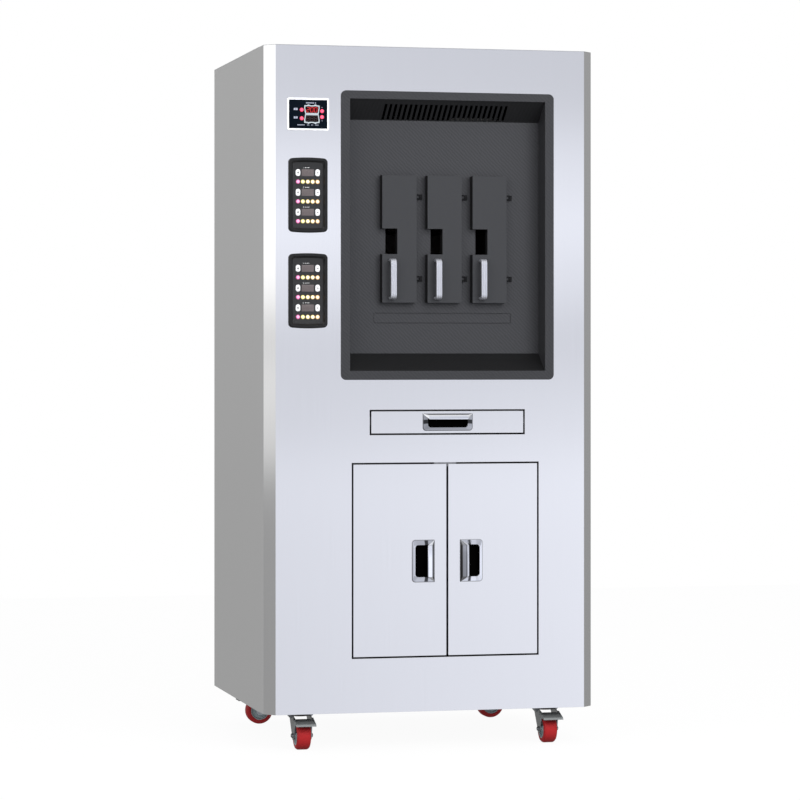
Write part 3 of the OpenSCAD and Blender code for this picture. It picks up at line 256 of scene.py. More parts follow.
def make_floor():
    floor_data = bpy.data.meshes.new("floor")
    corners = [(-FLOOR_HALF, -FLOOR_HALF, 0), (FLOOR_HALF, -FLOOR_HALF, 0), (FLOOR_HALF, FLOOR_HALF, 0),
               (-FLOOR_HALF, FLOOR_HALF, 0)]
    floor_data.from_pydata(corners, [], [(0, 1, 2, 3)])
    floor = bpy.data.objects.new("floor", floor_data)
    scene.collection.objects.link(floor)
    floor.visible_glossy = False
    pale = bpy.data.materials.new("floor")
    pale.use_nodes = True
    t = Tree(pale.node_tree)
    shade = t.ramp(t.noise(t.place(), 3.0), [(0.0, 0.86), (1.0, 0.90)])
    matt = t.node("ShaderNodeBsdfDiffuse", {"Color": shade}).outputs[0]
    bright = t.node("ShaderNodeEmission", {"Color": WHITE, "Strength": 1.0}).outputs[0]
    dim = t.node("ShaderNodeEmission", {"Color": WHITE, "Strength": FLOOR_BOUNCE}).outputs[0]
    shown = t.node("ShaderNodeMixShader", {0: FLOOR_SHADOW, 1: bright, 2: matt}).outputs[0]
    both = t.node("ShaderNodeMixShader", {0: t.seen(), 1: dim, 2: shown}).outputs[0]
    t.node("ShaderNodeOutputMaterial", {"Surface": both})
    floor_data.materials.append(pale)


make_world()
area_light("key_light", place=(1.3, -4.7, 2.9), target=(0.05, -0.35, 1.30), size=3.0, power=235)
area_light("fill_light", place=(-3.0, -4.0, 2.2), target=(0.05, -0.35, 1.20), size=2.4, power=60)
make_floor()

# ---------------------------------------------------------------- patterns

# Each gives a height in metres and a shade for the surface at a place


def speckle(t, place, scale, relief, contrast, least, detail=2.0):
    """Uneven marks, some scale of them to a metre: they stand up to relief high, and their shade goes from
    least up by contrast."""
    marks = t.noise(place, scale, detail)
    return t.times(marks, relief), t.vary(marks, contrast, least)


# The weave of the hearth's sheet: distances between its ribs and between the cells on a rib, the height of
# both in shares of the relief, how far they waver, and how much the weave shades and stands out
RIB_PITCH = 0.0105
CELL_PITCH = 0.0068
RIB_SHARE = 0.7
CELL_SHARE = 0.5
WAVER = 0.009
WEAVE_CONTRAST = 0.22
WEAVE_RELIEF = 0.00006
# Painted shade of the hearth's floor slope and its hood slope, and the shade of its rim, beside its walls
FLOOR_SLOPE_SHADE = 0.14
HOOD_SLOPE_SHADE = 0.32
RIM_SHADE = 0.85


def twill(t, place):
    """The embossed diagonal weave of the hearth's black sheet, with painted shade on its slopes and darker on
    its rim.
    """
    waver = t.noise(place, 70.0)
    level = t.math("ADD", t.part(place, X_AXIS), t.part(place, Y_AXIS))
    across = t.vary(waver, WAVER, level)
    fall = t.math("ADD", across, t.part(place, Z_AXIS))
    rise = t.math("SUBTRACT", across, t.part(place, Z_AXIS))
    ribs = t.math("SINE", t.times(fall, 2 * math.pi / RIB_PITCH))
    cells = t.math("SINE", t.times(rise, 2 * math.pi / CELL_PITCH))
    weave = t.math("ADD", t.times(ribs, RIB_SHARE), t.times(t.times(ribs, cells), CELL_SHARE))
    up = t.facing(Z_AXIS)
    # Painted shade on the slopes that face up and down, where less light falls
    slope_shade = t.times(t.step(up, 0.2, 0.5, 1.0, FLOOR_SLOPE_SHADE), t.step(up, -0.5, -0.2, HOOD_SLOPE_SHADE, 1.0))
    rim = t.step(t.part(place, Y_AXIS), FRONT_Y + 0.0001, FRONT_Y + 0.0009, RIM_SHADE, 1.0)
    shade = t.times(t.vary(weave, WEAVE_CONTRAST, 1.0), t.times(slope_shade, rim))
    return t.times(weave, WEAVE_RELIEF), shade


def spangle(t, place):
    """Crystals of a galvanised sheet."""
    cells = t.node("ShaderNodeTexVoronoi", {"Vector": place, "Scale": 90.0}).outputs["Color"]
    grey = t.node("ShaderNodeSeparateColor", {0: cells}).outputs[0]
    return t.times(grey, 0.00001), t.vary(grey, 0.14, 0.93)


# Heights between which the duct goes from its low tone to its own, and its tone below them
DARK_END = (1.80, 1.85)
DUCT_LOW_TONE = 0.02


def dark_below_collar(t, place):
    """A galvanised duct, nearly black in the hood over the hearth and lighter up at the collar."""
    height, shade = spangle(t, place)
    return height, t.times(shade, t.step(t.part(place, Z_AXIS), *DARK_END, DUCT_LOW_TONE, 1.0))


# Painted shade on the roasting doors' sides
FOLD_SHADE = 0.25


def folded(t, place):
    """A coated door with painted shade on its folded sides, which makes them darker than its face."""
    height, shade = speckle(t, place, scale=700.0, relief=0.000008, contrast=0.1, least=0.95)
    return height, t.times(t.step(t.facing(Y_AXIS), -0.8, -0.4, 1.0, FOLD_SHADE), shade)


# Painted shade on the pedals' tops
TOP_PAINTED_SHADE = 0.85


def worn_and_top_shaded(t, place):
    """Zinc plate with uneven marks, and painted shade on the faces that look up, so it is brighter where it
    faces sideways.
    """
    height, shade = speckle(t, place, scale=90.0, relief=0.00002, contrast=0.3, least=0.85, detail=4.0)
    return height, t.times(t.step(t.facing(Z_AXIS), 0.1, 0.7, 1.0, TOP_PAINTED_SHADE), shade)


def fibres(t, place):
    """Matted strands of mineral wool."""
    wave = t.node("ShaderNodeTexWave", {"Vector": place, "Scale": 60.0, "Distortion": 14.0, "Detail": 4.0})
    strands = wave.outputs["Fac"]
    return t.times(strands, 0.0008), t.vary(strands, 0.30, 0.80)


def moulding(t, place):
    """The fine spark-eroded grain of moulded plastic."""
    return speckle(t, place, scale=1600.0, relief=0.00004, contrast=0.10, least=0.95)


def mirrored(t, place):
    """Polished chrome whose points carry a painted reflection and painted shade, with faint finger marks."""
    height, shade = speckle(t, place, scale=120.0, relief=0.000004, contrast=0.08, least=0.96, detail=3.0)
    return height, t.times(t.glow(), shade)


# Painted shade on the timer panels' outer rounding
ROUNDING_SHADE = 0.30


def dished(t, place):
    """Moulded black plastic with painted shade on the outer rounding, greyer down in the dish."""
    height, shade = moulding(t, place)
    depth = t.part(place, Y_AXIS)
    return height, t.times(shade, t.step(depth, FRONT_Y - 0.0067, FRONT_Y - 0.0010, ROUNDING_SHADE, 1.0))


def heat_tint(t, place):
    """Uneven bloom of steel that is baked often."""
    return speckle(t, place, scale=6.0, relief=0.00002, contrast=0.9, least=0.55, detail=5.0)


# ---------------------------------------------------------------- materials

looks = {}
# Reach of the cabinet's brushed grain per metre: fine across it, long along it
FINE = 900.0
LONG = 5.0
UP = (FINE, FINE, LONG)
BACKWARDS = (FINE, LONG, FINE)
SIDEWAYS = (LONG, FINE, FINE)
EVEN = (60.0, 60.0, 60.0)
CAST = (160.0, 160.0, 160.0)
RUBBER = (200.0, 200.0, 200.0)
POLISH = (400.0, 400.0, 400.0)
COATING = (500.0, 500.0, 500.0)
# Size of the broad patches, and how far a corner is rounded where its brightness has changed fully
CLOUD_SCALE = 2.2
EDGE_REACH = 0.12


def finish(name, color, rough, metallic=0.0, stretch=EVEN, tone=0.05, spread=0.05, bump=0.0,
           bevel=0.0006, edge=0.0, aniso=0.0, gloss=0.5, cloud=0.0, pattern=None):
    """A surface whose grain varies its colour by tone, its roughness by spread and its height by bump metres.
    edge changes the brightness of corners: above 1 it paints a highlight on them, below 1 painted shade.
    cloud adds broad uneven patches, and pattern adds a height and a shade."""
    material = bpy.data.materials.new(name)
    material.use_nodes = True
    t = Tree(material.node_tree)
    place = t.place()
    stretched = t.node("ShaderNodeMapping", {"Vector": place, "Scale": stretch}).outputs[0]
    grain = t.noise(stretched, 1.0, 3.0)
    shade = t.vary(grain, 2 * tone, 1 - tone)
    if cloud:
        shade = t.times(shade, t.vary(t.noise(place, CLOUD_SCALE, 1.0), 2 * cloud, 1 - cloud))
    height = t.times(grain, bump)
    if pattern:
        extra_height, extra_shade = pattern(t, place)
        height = t.math("ADD", height, extra_height)
        shade = t.times(shade, extra_shade)
    base = t.scale(color, shade)
    normal = t.node("ShaderNodeBevel", {"Radius": bevel}, samples=4).outputs[0] if bevel else None
    # Painted highlight on corners where edge is above 1, painted shade on them where it is below 1
    if edge:
        true = t.node("ShaderNodeNewGeometry").outputs["Normal"]
        rim = t.math("SUBTRACT", 1.0, t.dot(normal, true))
        base = t.mix(t.step(rim, 0.0, EDGE_REACH), base, rgba([min(1.0, c * edge) for c in color]))
    if bump or pattern:
        inputs = {"Strength": 1.0, "Distance": 1.0, "Height": height}
        if normal:
            inputs["Normal"] = normal
        normal = t.node("ShaderNodeBump", inputs).outputs[0]
    shader = t.node("ShaderNodeBsdfPrincipled", {
        "Base Color": base, "Metallic": metallic, "Specular IOR Level": gloss, "Anisotropic": aniso,
        "Roughness": t.vary(grain, 2 * spread, rough - spread)})
    if normal:
        t.put(shader.inputs["Normal"], normal)
    if aniso:
        tangent = t.node("ShaderNodeTangent", direction_type="RADIAL", axis="Z").outputs[0]
        t.put(shader.inputs["Tangent"], tangent)
    t.node("ShaderNodeOutputMaterial", {"Surface": shader.outputs[0]})
    looks[name] = material


def glowing(name, centre, rim, strength):
    """A lit lens, brighter and paler in its middle."""
    material = bpy.data.materials.new(name)
    material.use_nodes = True
    t = Tree(material.node_tree)
    cloud = t.noise(t.place(), 400.0)
    amount = t.math("ADD", t.glow(), t.vary(cloud, 0.2, -0.1), clamp=True)
    color = t.mix(amount, rgba(rim), rgba(centre))
    shader = t.node("ShaderNodeBsdfPrincipled", {"Base Color": color, "Roughness": 0.3,
                                                 "Emission Color": color, "Emission Strength": strength})
    t.node("ShaderNodeOutputMaterial", {"Surface": shader.outputs[0]})
    looks[name] = material


# An edge above 1 paints highlights on a material's corners, one below 1 paints shade on them
finish("front_sheet", (0.90, 0.90, 0.905), rough=0.115, metallic=1.0, stretch=UP, tone=0.03, spread=0.015,
       aniso=1.0)
finish("side_sheet", (0.91, 0.91, 0.91), rough=0.13, metallic=1.0, stretch=UP, tone=0.02, spread=0.02,
       aniso=1.0)
finish("back_sheet", (0.62, 0.63, 0.64), rough=0.36, metallic=1.0, stretch=UP, tone=0.04, spread=0.05,
       pattern=spangle)
finish("frame_steel", (0.20, 0.205, 0.21), rough=0.45, metallic=0.6, tone=0.08, bump=0.00003, edge=1.6,
       cloud=0.06)
finish("hearth_black", (0.0272, 0.0277, 0.0303), rough=0.50, tone=0.04, bump=0.00001, bevel=0.0015,
       edge=0.55, pattern=twill)
finish("chamber_steel", (0.10, 0.09, 0.085), rough=0.45, metallic=0.8, stretch=SIDEWAYS, tone=0.05,
       spread=0.08, pattern=heat_tint)
finish("mineral_wool", (0.62, 0.58, 0.44), rough=0.95, tone=0.1, bevel=0.0, pattern=fibres)
finish("element_sheath", (0.13, 0.10, 0.09), rough=0.55, metallic=0.7, tone=0.12, bevel=0.0,
       pattern=heat_tint)
finish("probe_steel", (0.62, 0.62, 0.62), rough=0.25, metallic=1.0, stretch=BACKWARDS)
finish("duct_steel", (0.55, 0.56, 0.57), rough=0.34, metallic=1.0, pattern=dark_below_collar)
finish("liner_steel", (0.50, 0.505, 0.51), rough=0.38, metallic=1.0, stretch=SIDEWAYS, tone=0.05,
       spread=0.06)
finish("switchgear_plastic", (0.62, 0.62, 0.58), rough=0.5, pattern=moulding, edge=1.15)
finish("gland_plastic", (0.022, 0.022, 0.023), rough=0.5, pattern=moulding, edge=1.5)
finish("controller_plastic", (0.84, 0.85, 0.87), rough=0.4, pattern=moulding)
finish("timer_plastic", (0.0175, 0.0175, 0.018), rough=0.42, pattern=dished, gloss=0.4)
finish("lamp_glow", (0.8, 0.6, 0.3), rough=0.3, pattern=moulding)
finish("hinge_black", (0.005, 0.005, 0.0055), rough=0.5, tone=0.1, edge=1.8, gloss=0.25)
finish("screw_steel", (0.60, 0.60, 0.61), rough=0.28, metallic=1.0, tone=0.06)
finish("castor_zinc", (0.30, 0.31, 0.31), rough=0.34, metallic=1.0, stretch=CAST, tone=0.07, spread=0.08,
       bump=0.00001, edge=1.5, cloud=0.05)
finish("pedal_zinc", (0.27, 0.285, 0.285), rough=0.42, metallic=0.45, stretch=CAST, tone=0.08, spread=0.08,
       edge=1.5, pattern=worn_and_top_shaded)
finish("tray_steel", (0.58, 0.585, 0.59), rough=0.33, metallic=1.0, stretch=SIDEWAYS, tone=0.04,
       spread=0.06)
finish("pull_chrome", (0.80, 0.815, 0.86), rough=0.13, metallic=1.0, stretch=POLISH, tone=0.02, spread=0.03)
finish("roast_door_black", (0.0270, 0.0278, 0.0302), rough=0.55, stretch=COATING, tone=0.05, spread=0.04,
       edge=0.7, pattern=folded)
finish("handle_steel", (0.645, 0.657, 0.71), rough=0.36, metallic=0.75, stretch=(FINE, FINE, 12.0),
       tone=0.06, bump=0.000004)
finish("key_white", (0.74, 0.74, 0.75), rough=0.35, pattern=moulding)
finish("tyre_red", (0.36, 0.016, 0.018), rough=0.55, stretch=RUBBER, tone=0.08, spread=0.06, bump=0.00003,
       gloss=0.25, cloud=0.06)

finish("pull_mirror", (0.93, 0.945, 0.99), rough=0.13, metallic=1.0, stretch=POLISH, tone=0.02, spread=0.03,
       pattern=mirrored)
# Dead black with no gloss: painted shadow inside the pulls' cups
finish("cup_black", (0.0012, 0.0012, 0.0012), rough=0.8, pattern=moulding, gloss=0.0)
finish("hub_grey", (0.30, 0.36, 0.37), rough=0.4, pattern=moulding, edge=1.3)
finish("key_mark", (0.14, 0.14, 0.145), rough=0.5, pattern=moulding)
finish("window_grey", (0.115, 0.097, 0.097), rough=0.22, pattern=moulding)
finish("window_ghost", (0.090, 0.073, 0.073), rough=0.3, pattern=moulding)
finish("mark_white", (0.75, 0.75, 0.75), rough=0.5, pattern=moulding)
finish("mark_pale", (0.30, 0.32, 0.39), rough=0.5, pattern=moulding)
finish("face_glass", (0.0015, 0.0038, 0.0075), rough=0.25, pattern=moulding, gloss=0.05)
finish("window_frame", (0.55, 0.60, 0.62), rough=0.3, metallic=0.6, pattern=moulding)
finish("screen_dark", (0.005, 0.003, 0.003), rough=0.25, pattern=moulding, gloss=0.05)
finish("button_ring", (0.003, 0.014, 0.016), rough=0.3, pattern=moulding, gloss=0.1)
glowing("lamp_pink", centre=(0.96, 0.42, 0.68), rim=(0.42, 0.05, 0.18), strength=0.2)
glowing("lamp_yellow", centre=(0.97, 0.94, 0.55), rim=(0.45, 0.38, 0.06), strength=0.2)
glowing("lamp_cream", centre=(1.0, 0.95, 0.76), rim=(0.52, 0.34, 0.05), strength=0.25)
glowing("lamp_amber", centre=(1.0, 0.90, 0.66), rim=(0.55, 0.25, 0.04), strength=0.25)
glowing("button_red", centre=(0.90, 0.10, 0.20), rim=(0.75, 0.02, 0.06), strength=0.25)
glowing("digit_red", centre=(0.50, 0.010, 0.014), rim=(0.42, 0.004, 0.006), strength=0.45)
glowing("digit_dim", centre=(0.018, 0.007, 0.007), rim=(0.014, 0.005, 0.005), strength=0.1)

for node in nodes.values():
    for held in node.material_slots:
        slot_name = held.material.name.split(".")[0] if held.material else ""
        if slot_name in looks:
            held.material = looks[slot_name]

# ---------------------------------------------------------------- mesh building

CORNERS = ((1, -1), (1, 1), (-1, 1), (-1, -1))


def inner_shares(count):
    """Even places from 1 down to -1, without these ends."""
    return [1 - 2 * (i + 1) / (count + 1) for i in range(count)]


def outline(width, height, radii, v=0.0, bow=0.0, across=0, upright=0, steps=5):
    """Points of a rectangle with round corners, anticlockwise from the bottom right corner. radii is one
    radius or four, v moves it up, and bow draws the ends of its top and bottom edges in. These edges have
    across points between their ends, and the sides have upright points."""
    four = radii if isinstance(radii, tuple) else (radii,) * 4
    points = []
    for (right, up), radius, start in zip(CORNERS, four, (-90, 0, 90, 180)):
        for i in range(steps + 1):
            angle = math.radians(start + 90 * i / steps)
            points.append((right * (width / 2 - radius) + radius * math.cos(angle),
                           up * (height / 2 - radius) + radius * math.sin(angle)))
        if right == up:
            reach = right * (width / 2 - radius)
            points += [(reach * share, up * height / 2) for share in inner_shares(across)]
        else:
            reach = up * (height / 2 - max(four))
            points += [(right * width / 2, reach * share) for share in inner_shares(upright)]
    if bow:
        drops = [bow * (2 * a / width) ** 2 * abs(2 * b / height) for a, b in points]
        points = [(a, b - math.copysign(drop, b)) for (a, b), drop in zip(points, drops)]
    return [(a, b + v) for a, b in points]


def between(line, place):
    """The height at place of a line through points (place, height)."""
    for (a, low), (b, high) in zip(line, line[1:]):
        if place <= b:
            return low + (high - low) * (place - a) / (b - a)
    return line[-1][1]


def disc(radius, u, v, count=20):
    turns = [2 * math.pi * i / count for i in range(count)]
    return [(u + radius * math.cos(a), v + radius * math.sin(a)) for a in turns]


class Shape:
    """A mesh made of rings of points in millimetres: u to the right, v up and d towards the viewer, counted
    from a place on the front and turned in its plane."""

    def __init__(self, x=0.0, z=0.0, turn=0.0):
        self.mesh = bmesh.new()
        self.glow = self.mesh.verts.layers.float.new("glow")
        self.spin = Matrix.Rotation(math.radians(turn), 3, "Y")
        self.move(x, z)

    def move(self, x, z):
        self.origin = Vector((x * MM, FRONT_Y, z * MM))

    def ring(self, points, glow=0.0):
        """Points are (u, v, d). glow is what they carry for their material: a number, a list with one number
        for each, or a function of u and v."""
        made = []
        for i, (u, v, d) in enumerate(points):
            point = self.mesh.verts.new(self.origin + self.spin @ Vector((u, -d, v)) * MM)
            own = glow[i] if isinstance(glow, list) else glow
            point[self.glow] = own(u, v) if callable(own) else own
            made.append(point)
        return made

    def band(self, low, high, paint=0):
        for i in range(len(low)):
            k = (i + 1) % len(low)
            self.mesh.faces.new((low[i], low[k], high[k], high[i])).material_index = paint

    def cap(self, ring, paint):
        self.mesh.faces.new(ring).material_index = paint

    def skin(self, rings, paints=None):
        """A closed solid over rings, with a paint for each band between them."""
        paints = paints or [0] * (len(rings) - 1)
        self.cap(rings[0], paints[0])
        for low, high, paint in zip(rings, rings[1:], paints):
            self.band(low, high, paint)
        self.cap(rings[-1], paints[-1])

    def loft(self, levels, paint=0, paints=None, glows=None):
        """A closed solid through levels, each an outline and its d."""
        glows = glows or [0.0] * len(levels)
        rings = [self.ring([(u, v, d) for u, v in points], glow) for (points, d), glow in zip(levels, glows)]
        self.skin(rings, paints or [paint] * (len(rings) - 1))

    def bar(self, start, end, width, low, high, paint):
        """A stroke with pointed ends from start to end, standing from d low to d high."""
        a, b = Vector(start), Vector(end)
        along = (b - a).normalized() * width / 2
        side = Vector((-along.y, along.x))
        corners = (a, a + along - side, b - along - side, b, b - along + side, a + along + side)
        points = [tuple(corner) for corner in corners]
        self.loft([(points, low), (points, high)], paint)

    def build(self, name, body, paints, replaced, crease=35):
        bmesh.ops.recalc_face_normals(self.mesh, faces=self.mesh.faces)
        data = bpy.data.meshes.new(name)
        self.mesh.to_mesh(data)
        self.mesh.free()
        data.shade_smooth()
        data.set_sharp_from_angle(angle=math.radians(crease))
        for paint in paints:
            data.materials.append(looks[paint])
        piece = bpy.data.objects.new(name, data)
        scene.collection.objects.link(piece)
        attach(piece, body)
        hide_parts(replaced)


SEGMENTS = {"0": "abcdef", "1": "bc", "2": "abdeg", "3": "abcdg", "4": "bcfg", "5": "acdfg", "6": "acdefg",
            "8": "abcdefg"}
SEGMENT_ENDS = {"a": ((-1, 1), (1, 1)), "b": ((1, 1), (1, 0)), "c": ((1, 0), (1, -1)),
                "d": ((-1, -1), (1, -1)), "e": ((-1, 0), (-1, -1)), "f": ((-1, 1), (-1, 0)),
                "g": ((-1, 0), (1, 0))}
# Half a numeral's width and its stroke as shares of its height, and its lean as a share of half its height
DIGIT_HALF = 0.27
DIGIT_STROKE = 0.13
DIGIT_LEAN = 0.10


def digit(shape, character, u, v, height, low, high, paint):
    """A numeral of straight strokes, leaning a little, about (u, v)."""
    half_w = height * DIGIT_HALF
    half_h = height / 2
    for segment in SEGMENTS[character]:
        start, end = [(u + right * half_w + up * half_h * DIGIT_LEAN, v + up * half_h)
                      for right, up in SEGMENT_ENDS[segment]]
        shape.bar(start, end, height * DIGIT_STROKE, low, high, paint)


# ---------------------------------------------------------------- pulls

# The pressed plate's front, where its hood starts, and the cup pressed into it
PLATE = 2.0
PLATE_TOP = PLATE - 0.3
CUP_DEPTH = 16.0
CUP_WALL = 1.5
# The plate's width at both ends of the cup, below it, and above it under the hood
PULL_END = 15.0
LOW_RIM = 10.0
HIGH_RIM = 6.5
# The plate's rounded edge as (inset, corner radius, d), and the cup's raised lip and inside as (inset, d)
PLATE_EDGE = [(0, 9, 0), (0.2, 8.8, 0.9), (1.3, 8, PLATE_TOP), (2.6, 7, PLATE)]
CUP_LIP = [(-4.6, PLATE + 0.2), (-2.6, PLATE + 1.6), (-1.2, PLATE + 1.6)]
CUP_INSIDE = [(-0.2, PLATE + 0.4), (0, PLATE - 2), (0.4, CUP_WALL - CUP_DEPTH)]
# Painted shade on the chrome where it turns down into the cup
CUP_GLOWS = [0.3, 0.1, 0.0]
# Heights of the hood's outer side by the distance from its edge, then at half its width and at its lip
HOOD_EDGE = [(0.0, 0.0), (0.8, 3.4), (2.2, 6.9), (4.0, 9.2)]
HOOD_MIDDLE = 11.2
HOOD_LIP = 12.6
# The hood's inner side back to its edge as (inset, height, glow), the glow being painted shade under the
# hood, and its ends as (distance from the plate's end, scale)
HOOD_INSIDE = [(4.6, 7.4, 0.05), (3.2, 5.6, 0.05), (2.2, 2.6, 0.05), (1.5, 0.0, 0.05)]
HOOD_ENDS = [(0.3, 0.03), (PULL_END - 1.5, 0.9), (PULL_END, 0.98), (PULL_END + 1.5, 1.0)]


def pull(name, body, place, turn, size, hood, plate_tones, patches, hood_tones):
    """A pressed plate with a cup painted black as painted shadow, and a folded hood that runs out to the
    plate's corners at its ends.
    The tones are painted reflection, painted shade and painted highlights: they tell how much light the
    chrome mirrors on the plate's edge, sides and ends, in patches beside the cup's ends that each reach from
    one height to another, and across the hood by the distance from its edge."""
    length, height = size
    edge_tone, side_tone, end_tone = plate_tones
    shape = Shape(*place, turn)
    hole_length = length - 2 * PULL_END
    hole_height = height - LOW_RIM - HIGH_RIM
    hole_rise = (LOW_RIM - HIGH_RIM) / 2

    def plate_line(inset, radius):
        return outline(length - 2 * inset, height - 2 * inset, (radius, 0.4, 0.4, radius), upright=16)

    def hole_line(inset):
        return outline(hole_length - 2 * inset, hole_height - 2 * inset, (8, 1, 1, 8), hole_rise, upright=16)

    def plate_tone(u, v):
        if abs(u) < hole_length / 2 - 1:
            return side_tone
        for low, high, tone in patches:
            if low < v < high:
                return tone
        return end_tone

    cup = [(hole_line(-CUP_WALL), -CUP_DEPTH), (hole_line(-CUP_WALL), 0)]
    plate = [(plate_line(inset, radius), d) for inset, radius, d in PLATE_EDGE]
    lip = [(hole_line(inset), d) for inset, d in CUP_LIP]
    inside = [(hole_line(inset), d) for inset, d in CUP_INSIDE]
    chrome = cup + plate + lip
    edge = len(cup) + len(plate) - 1
    shape.loft(chrome + inside, paints=[0] * len(chrome) + [1] * (len(inside) - 1),
               glows=[edge_tone] * edge + [plate_tone] * (len(chrome) - edge) + CUP_GLOWS)

    rise = HOOD_EDGE + [(hood / 2, HOOD_MIDDLE), (hood - 3.2, HOOD_LIP)]
    outer = [(inset, between(rise, inset), tone) for inset, tone in hood_tones]
    last = hood_tones[-1][1]
    # The lip's fold: its front keeps the hood's last tone, and painted shade falls away under it
    fold = [(hood - 1.2, HOOD_LIP + 0.4, last), (hood - 0.2, HOOD_LIP - 0.1, last),
            (hood, HOOD_LIP - 1.0, 0.3), (hood - 1.4, HOOD_LIP - 1.4, 0.1),
            (hood / 2, HOOD_MIDDLE - 1.8, 0.05)]
    profile = outer + fold + HOOD_INSIDE
    stations = [(u - length / 2, scale) for u, scale in HOOD_ENDS]
    stations += [(-u, scale) for u, scale in reversed(stations)]
    tones = [tone for _, _, tone in profile]
    rings = []
    for u, scale in stations:
        points = [(u, height / 2 - inset * scale, PLATE_TOP + out * scale) for inset, out, _ in profile]
        rings.append(shape.ring(points, tones))
    shape.skin(rings)
    shape.build(name + "_chrome", body, ["pull_mirror", "cup_black"], name, 40)


DOOR_PULL = (113, 62)
DOOR_HOOD = 21.3
DOOR_PULL_Z = 498.5

# Each pull's tones paint its own reflection, with painted shade and painted highlights
pull("drawer_pull", "drawer", place=(44, 866.5), turn=0, size=(137, 46), hood=15.5,
     plate_tones=(0.22, 0.42, 0.46), patches=[(-4, 7, 0.05)],
     hood_tones=[(0, 0.25), (0.8, 0.26), (2.2, 0.28), (3.4, 0.42), (4.4, 1.0), (8, 1.0), (12.3, 1.0)])
pull("left_door_pull", "left_cupboard_door", place=(-23, DOOR_PULL_Z), turn=90, size=DOOR_PULL,
     hood=DOOR_HOOD, plate_tones=(0.40, 0.95, 0.68), patches=[(3, 13.5, 0.07)],
     hood_tones=[(0, 0.10), (0.8, 0.12), (2.2, 0.15), (4.0, 0.16), (8.6, 0.24), (9.8, 1.0), (12, 1.0),
                 (18, 1.0)])
pull("right_door_pull", "right_cupboard_door", place=(109, DOOR_PULL_Z), turn=-90, size=DOOR_PULL,
     hood=DOOR_HOOD, plate_tones=(0.62, 0.93, 0.80), patches=[(-12, 2, 1.0), (2, 9, 0.12)],
     hood_tones=[(0, 0.06), (2.2, 0.08), (4.3, 0.10), (5.3, 0.38), (9, 0.42), (13.6, 0.42), (14.6, 0.15),
                 (15.8, 0.15), (16.8, 0.85), (18, 0.85)])

# ---------------------------------------------------------------- roasting door handles

# d of the roasting doors' faces, the bows' places, and their front, length, thickness, width and bend
DOOR_FACE = -36.0
FIRST_BOW_X = -100.7
BOW_PITCH = 124.0
BOW_Z = 1192.0
BOW_FRONT = -6.0
BOW_LEN = 109.0
BOW_T = 7.0
BOW_W = 16.2
BOW_R = 14.0
BEND_STEPS = 8
# The strap's three ribs: points on each, and the height of a valley and of a rib above it in shares of BOW_T
RIBS = 3
RIB_STEPS = 6
VALLEY = 0.33
RIB_RISE = 0.17


def bow_path():
    """Places (d, v) down a bow handle's middle line, each with the way outwards in degrees."""
    middle = BOW_R - BOW_T / 2
    half = [((DOOR_FACE - 0.5, BOW_T / 2 + 1.5), -70), ((DOOR_FACE + 6, BOW_T / 2), -90)]
    for i in range(BEND_STEPS + 1):
        turn = -90 + 90 * i / BEND_STEPS
        angle = math.radians(turn)
        half.append(((BOW_FRONT - BOW_R + middle * math.cos(angle), BOW_R + middle * math.sin(angle)), turn))
    return half + [((d, BOW_LEN - v), -turn) for (d, v), turn in reversed(half)]


def bow_section():
    """A strap's section in shares of its width and thickness: round ribs outside, a flat inside with round
    edges."""
    count = RIBS * RIB_STEPS
    waves = [abs(math.sin(math.pi * i / RIB_STEPS)) ** 0.7 for i in range(count + 1)]
    ribs = [(-0.5 + i / count, VALLEY + RIB_RISE * wave) for i, wave in enumerate(waves)]
    ribs[0] = (-0.5, 0.20)
    ribs[-1] = (0.5, 0.20)
    return ribs + [(0.5, -0.25), (0.42, -0.5), (0.0, -0.5), (-0.42, -0.5), (-0.5, -0.25)]


def bow_handle(number, x):
    """A ribbed strap bent to a bow, with both feet on its door."""
    shape = Shape(x, BOW_Z)
    rings = []
    for (d, v), turn in bow_path():
        out_d = math.cos(math.radians(turn))
        out_v = math.sin(math.radians(turn))
        rings.append(shape.ring([(across * BOW_W, v + rise * BOW_T * out_v, d + rise * BOW_T * out_d)
                                 for across, rise in bow_section()]))
    shape.skin(rings)
    shape.build(f"roast_grip_{number}", f"roasting_door_{number}", ["handle_steel"],
                f"roast_handle_{number}", 50)


for number in (1, 2, 3):
    bow_handle(number, FIRST_BOW_X + BOW_PITCH * (number - 1))

# ---------------------------------------------------------------- timers

# The middle line of all the controls
CONTROL_X = -335.0
# Heights of the panels' middles, and of the rows of windows and keys from there
PANELS = (1465.0, 1213.5)
ROWS = (59.0, 7.0, -45.0)
PANEL_SIZE = (105, 198)
# d of the dish's floor and of the marks on it
TIMER_FLOOR = -2.0
MARK_TOP = TIMER_FLOOR + 0.12
# A panel as (inset, corner radius, bow, d): its box behind the sheet, its rounded bezel and its dish
PANEL_BOX = [(9.5, 1.5, 0, -40), (8, 3, 0, -38.5), (8, 3, 0, 0)]
PANEL_BEZEL = [(0, 10, 3.0, 0), (0.1, 10, 3.0, 3.2), (0.8, 9.6, 3.0, 5.0), (2.0, 9, 3.0, 6.2),
               (4.0, 8, 3.0, 7.0), (6.4, 7, 3.0, 7.0)]
PANEL_DISH = [(8.0, 6, 2.4, 6.4), (12.2, 4.5, 1.6, TIMER_FLOOR + 0.3), (13.2, 4, 1.4, TIMER_FLOOR)]
KEY_X = 26.3
KEY_SIZE = (12.4, 18.4)
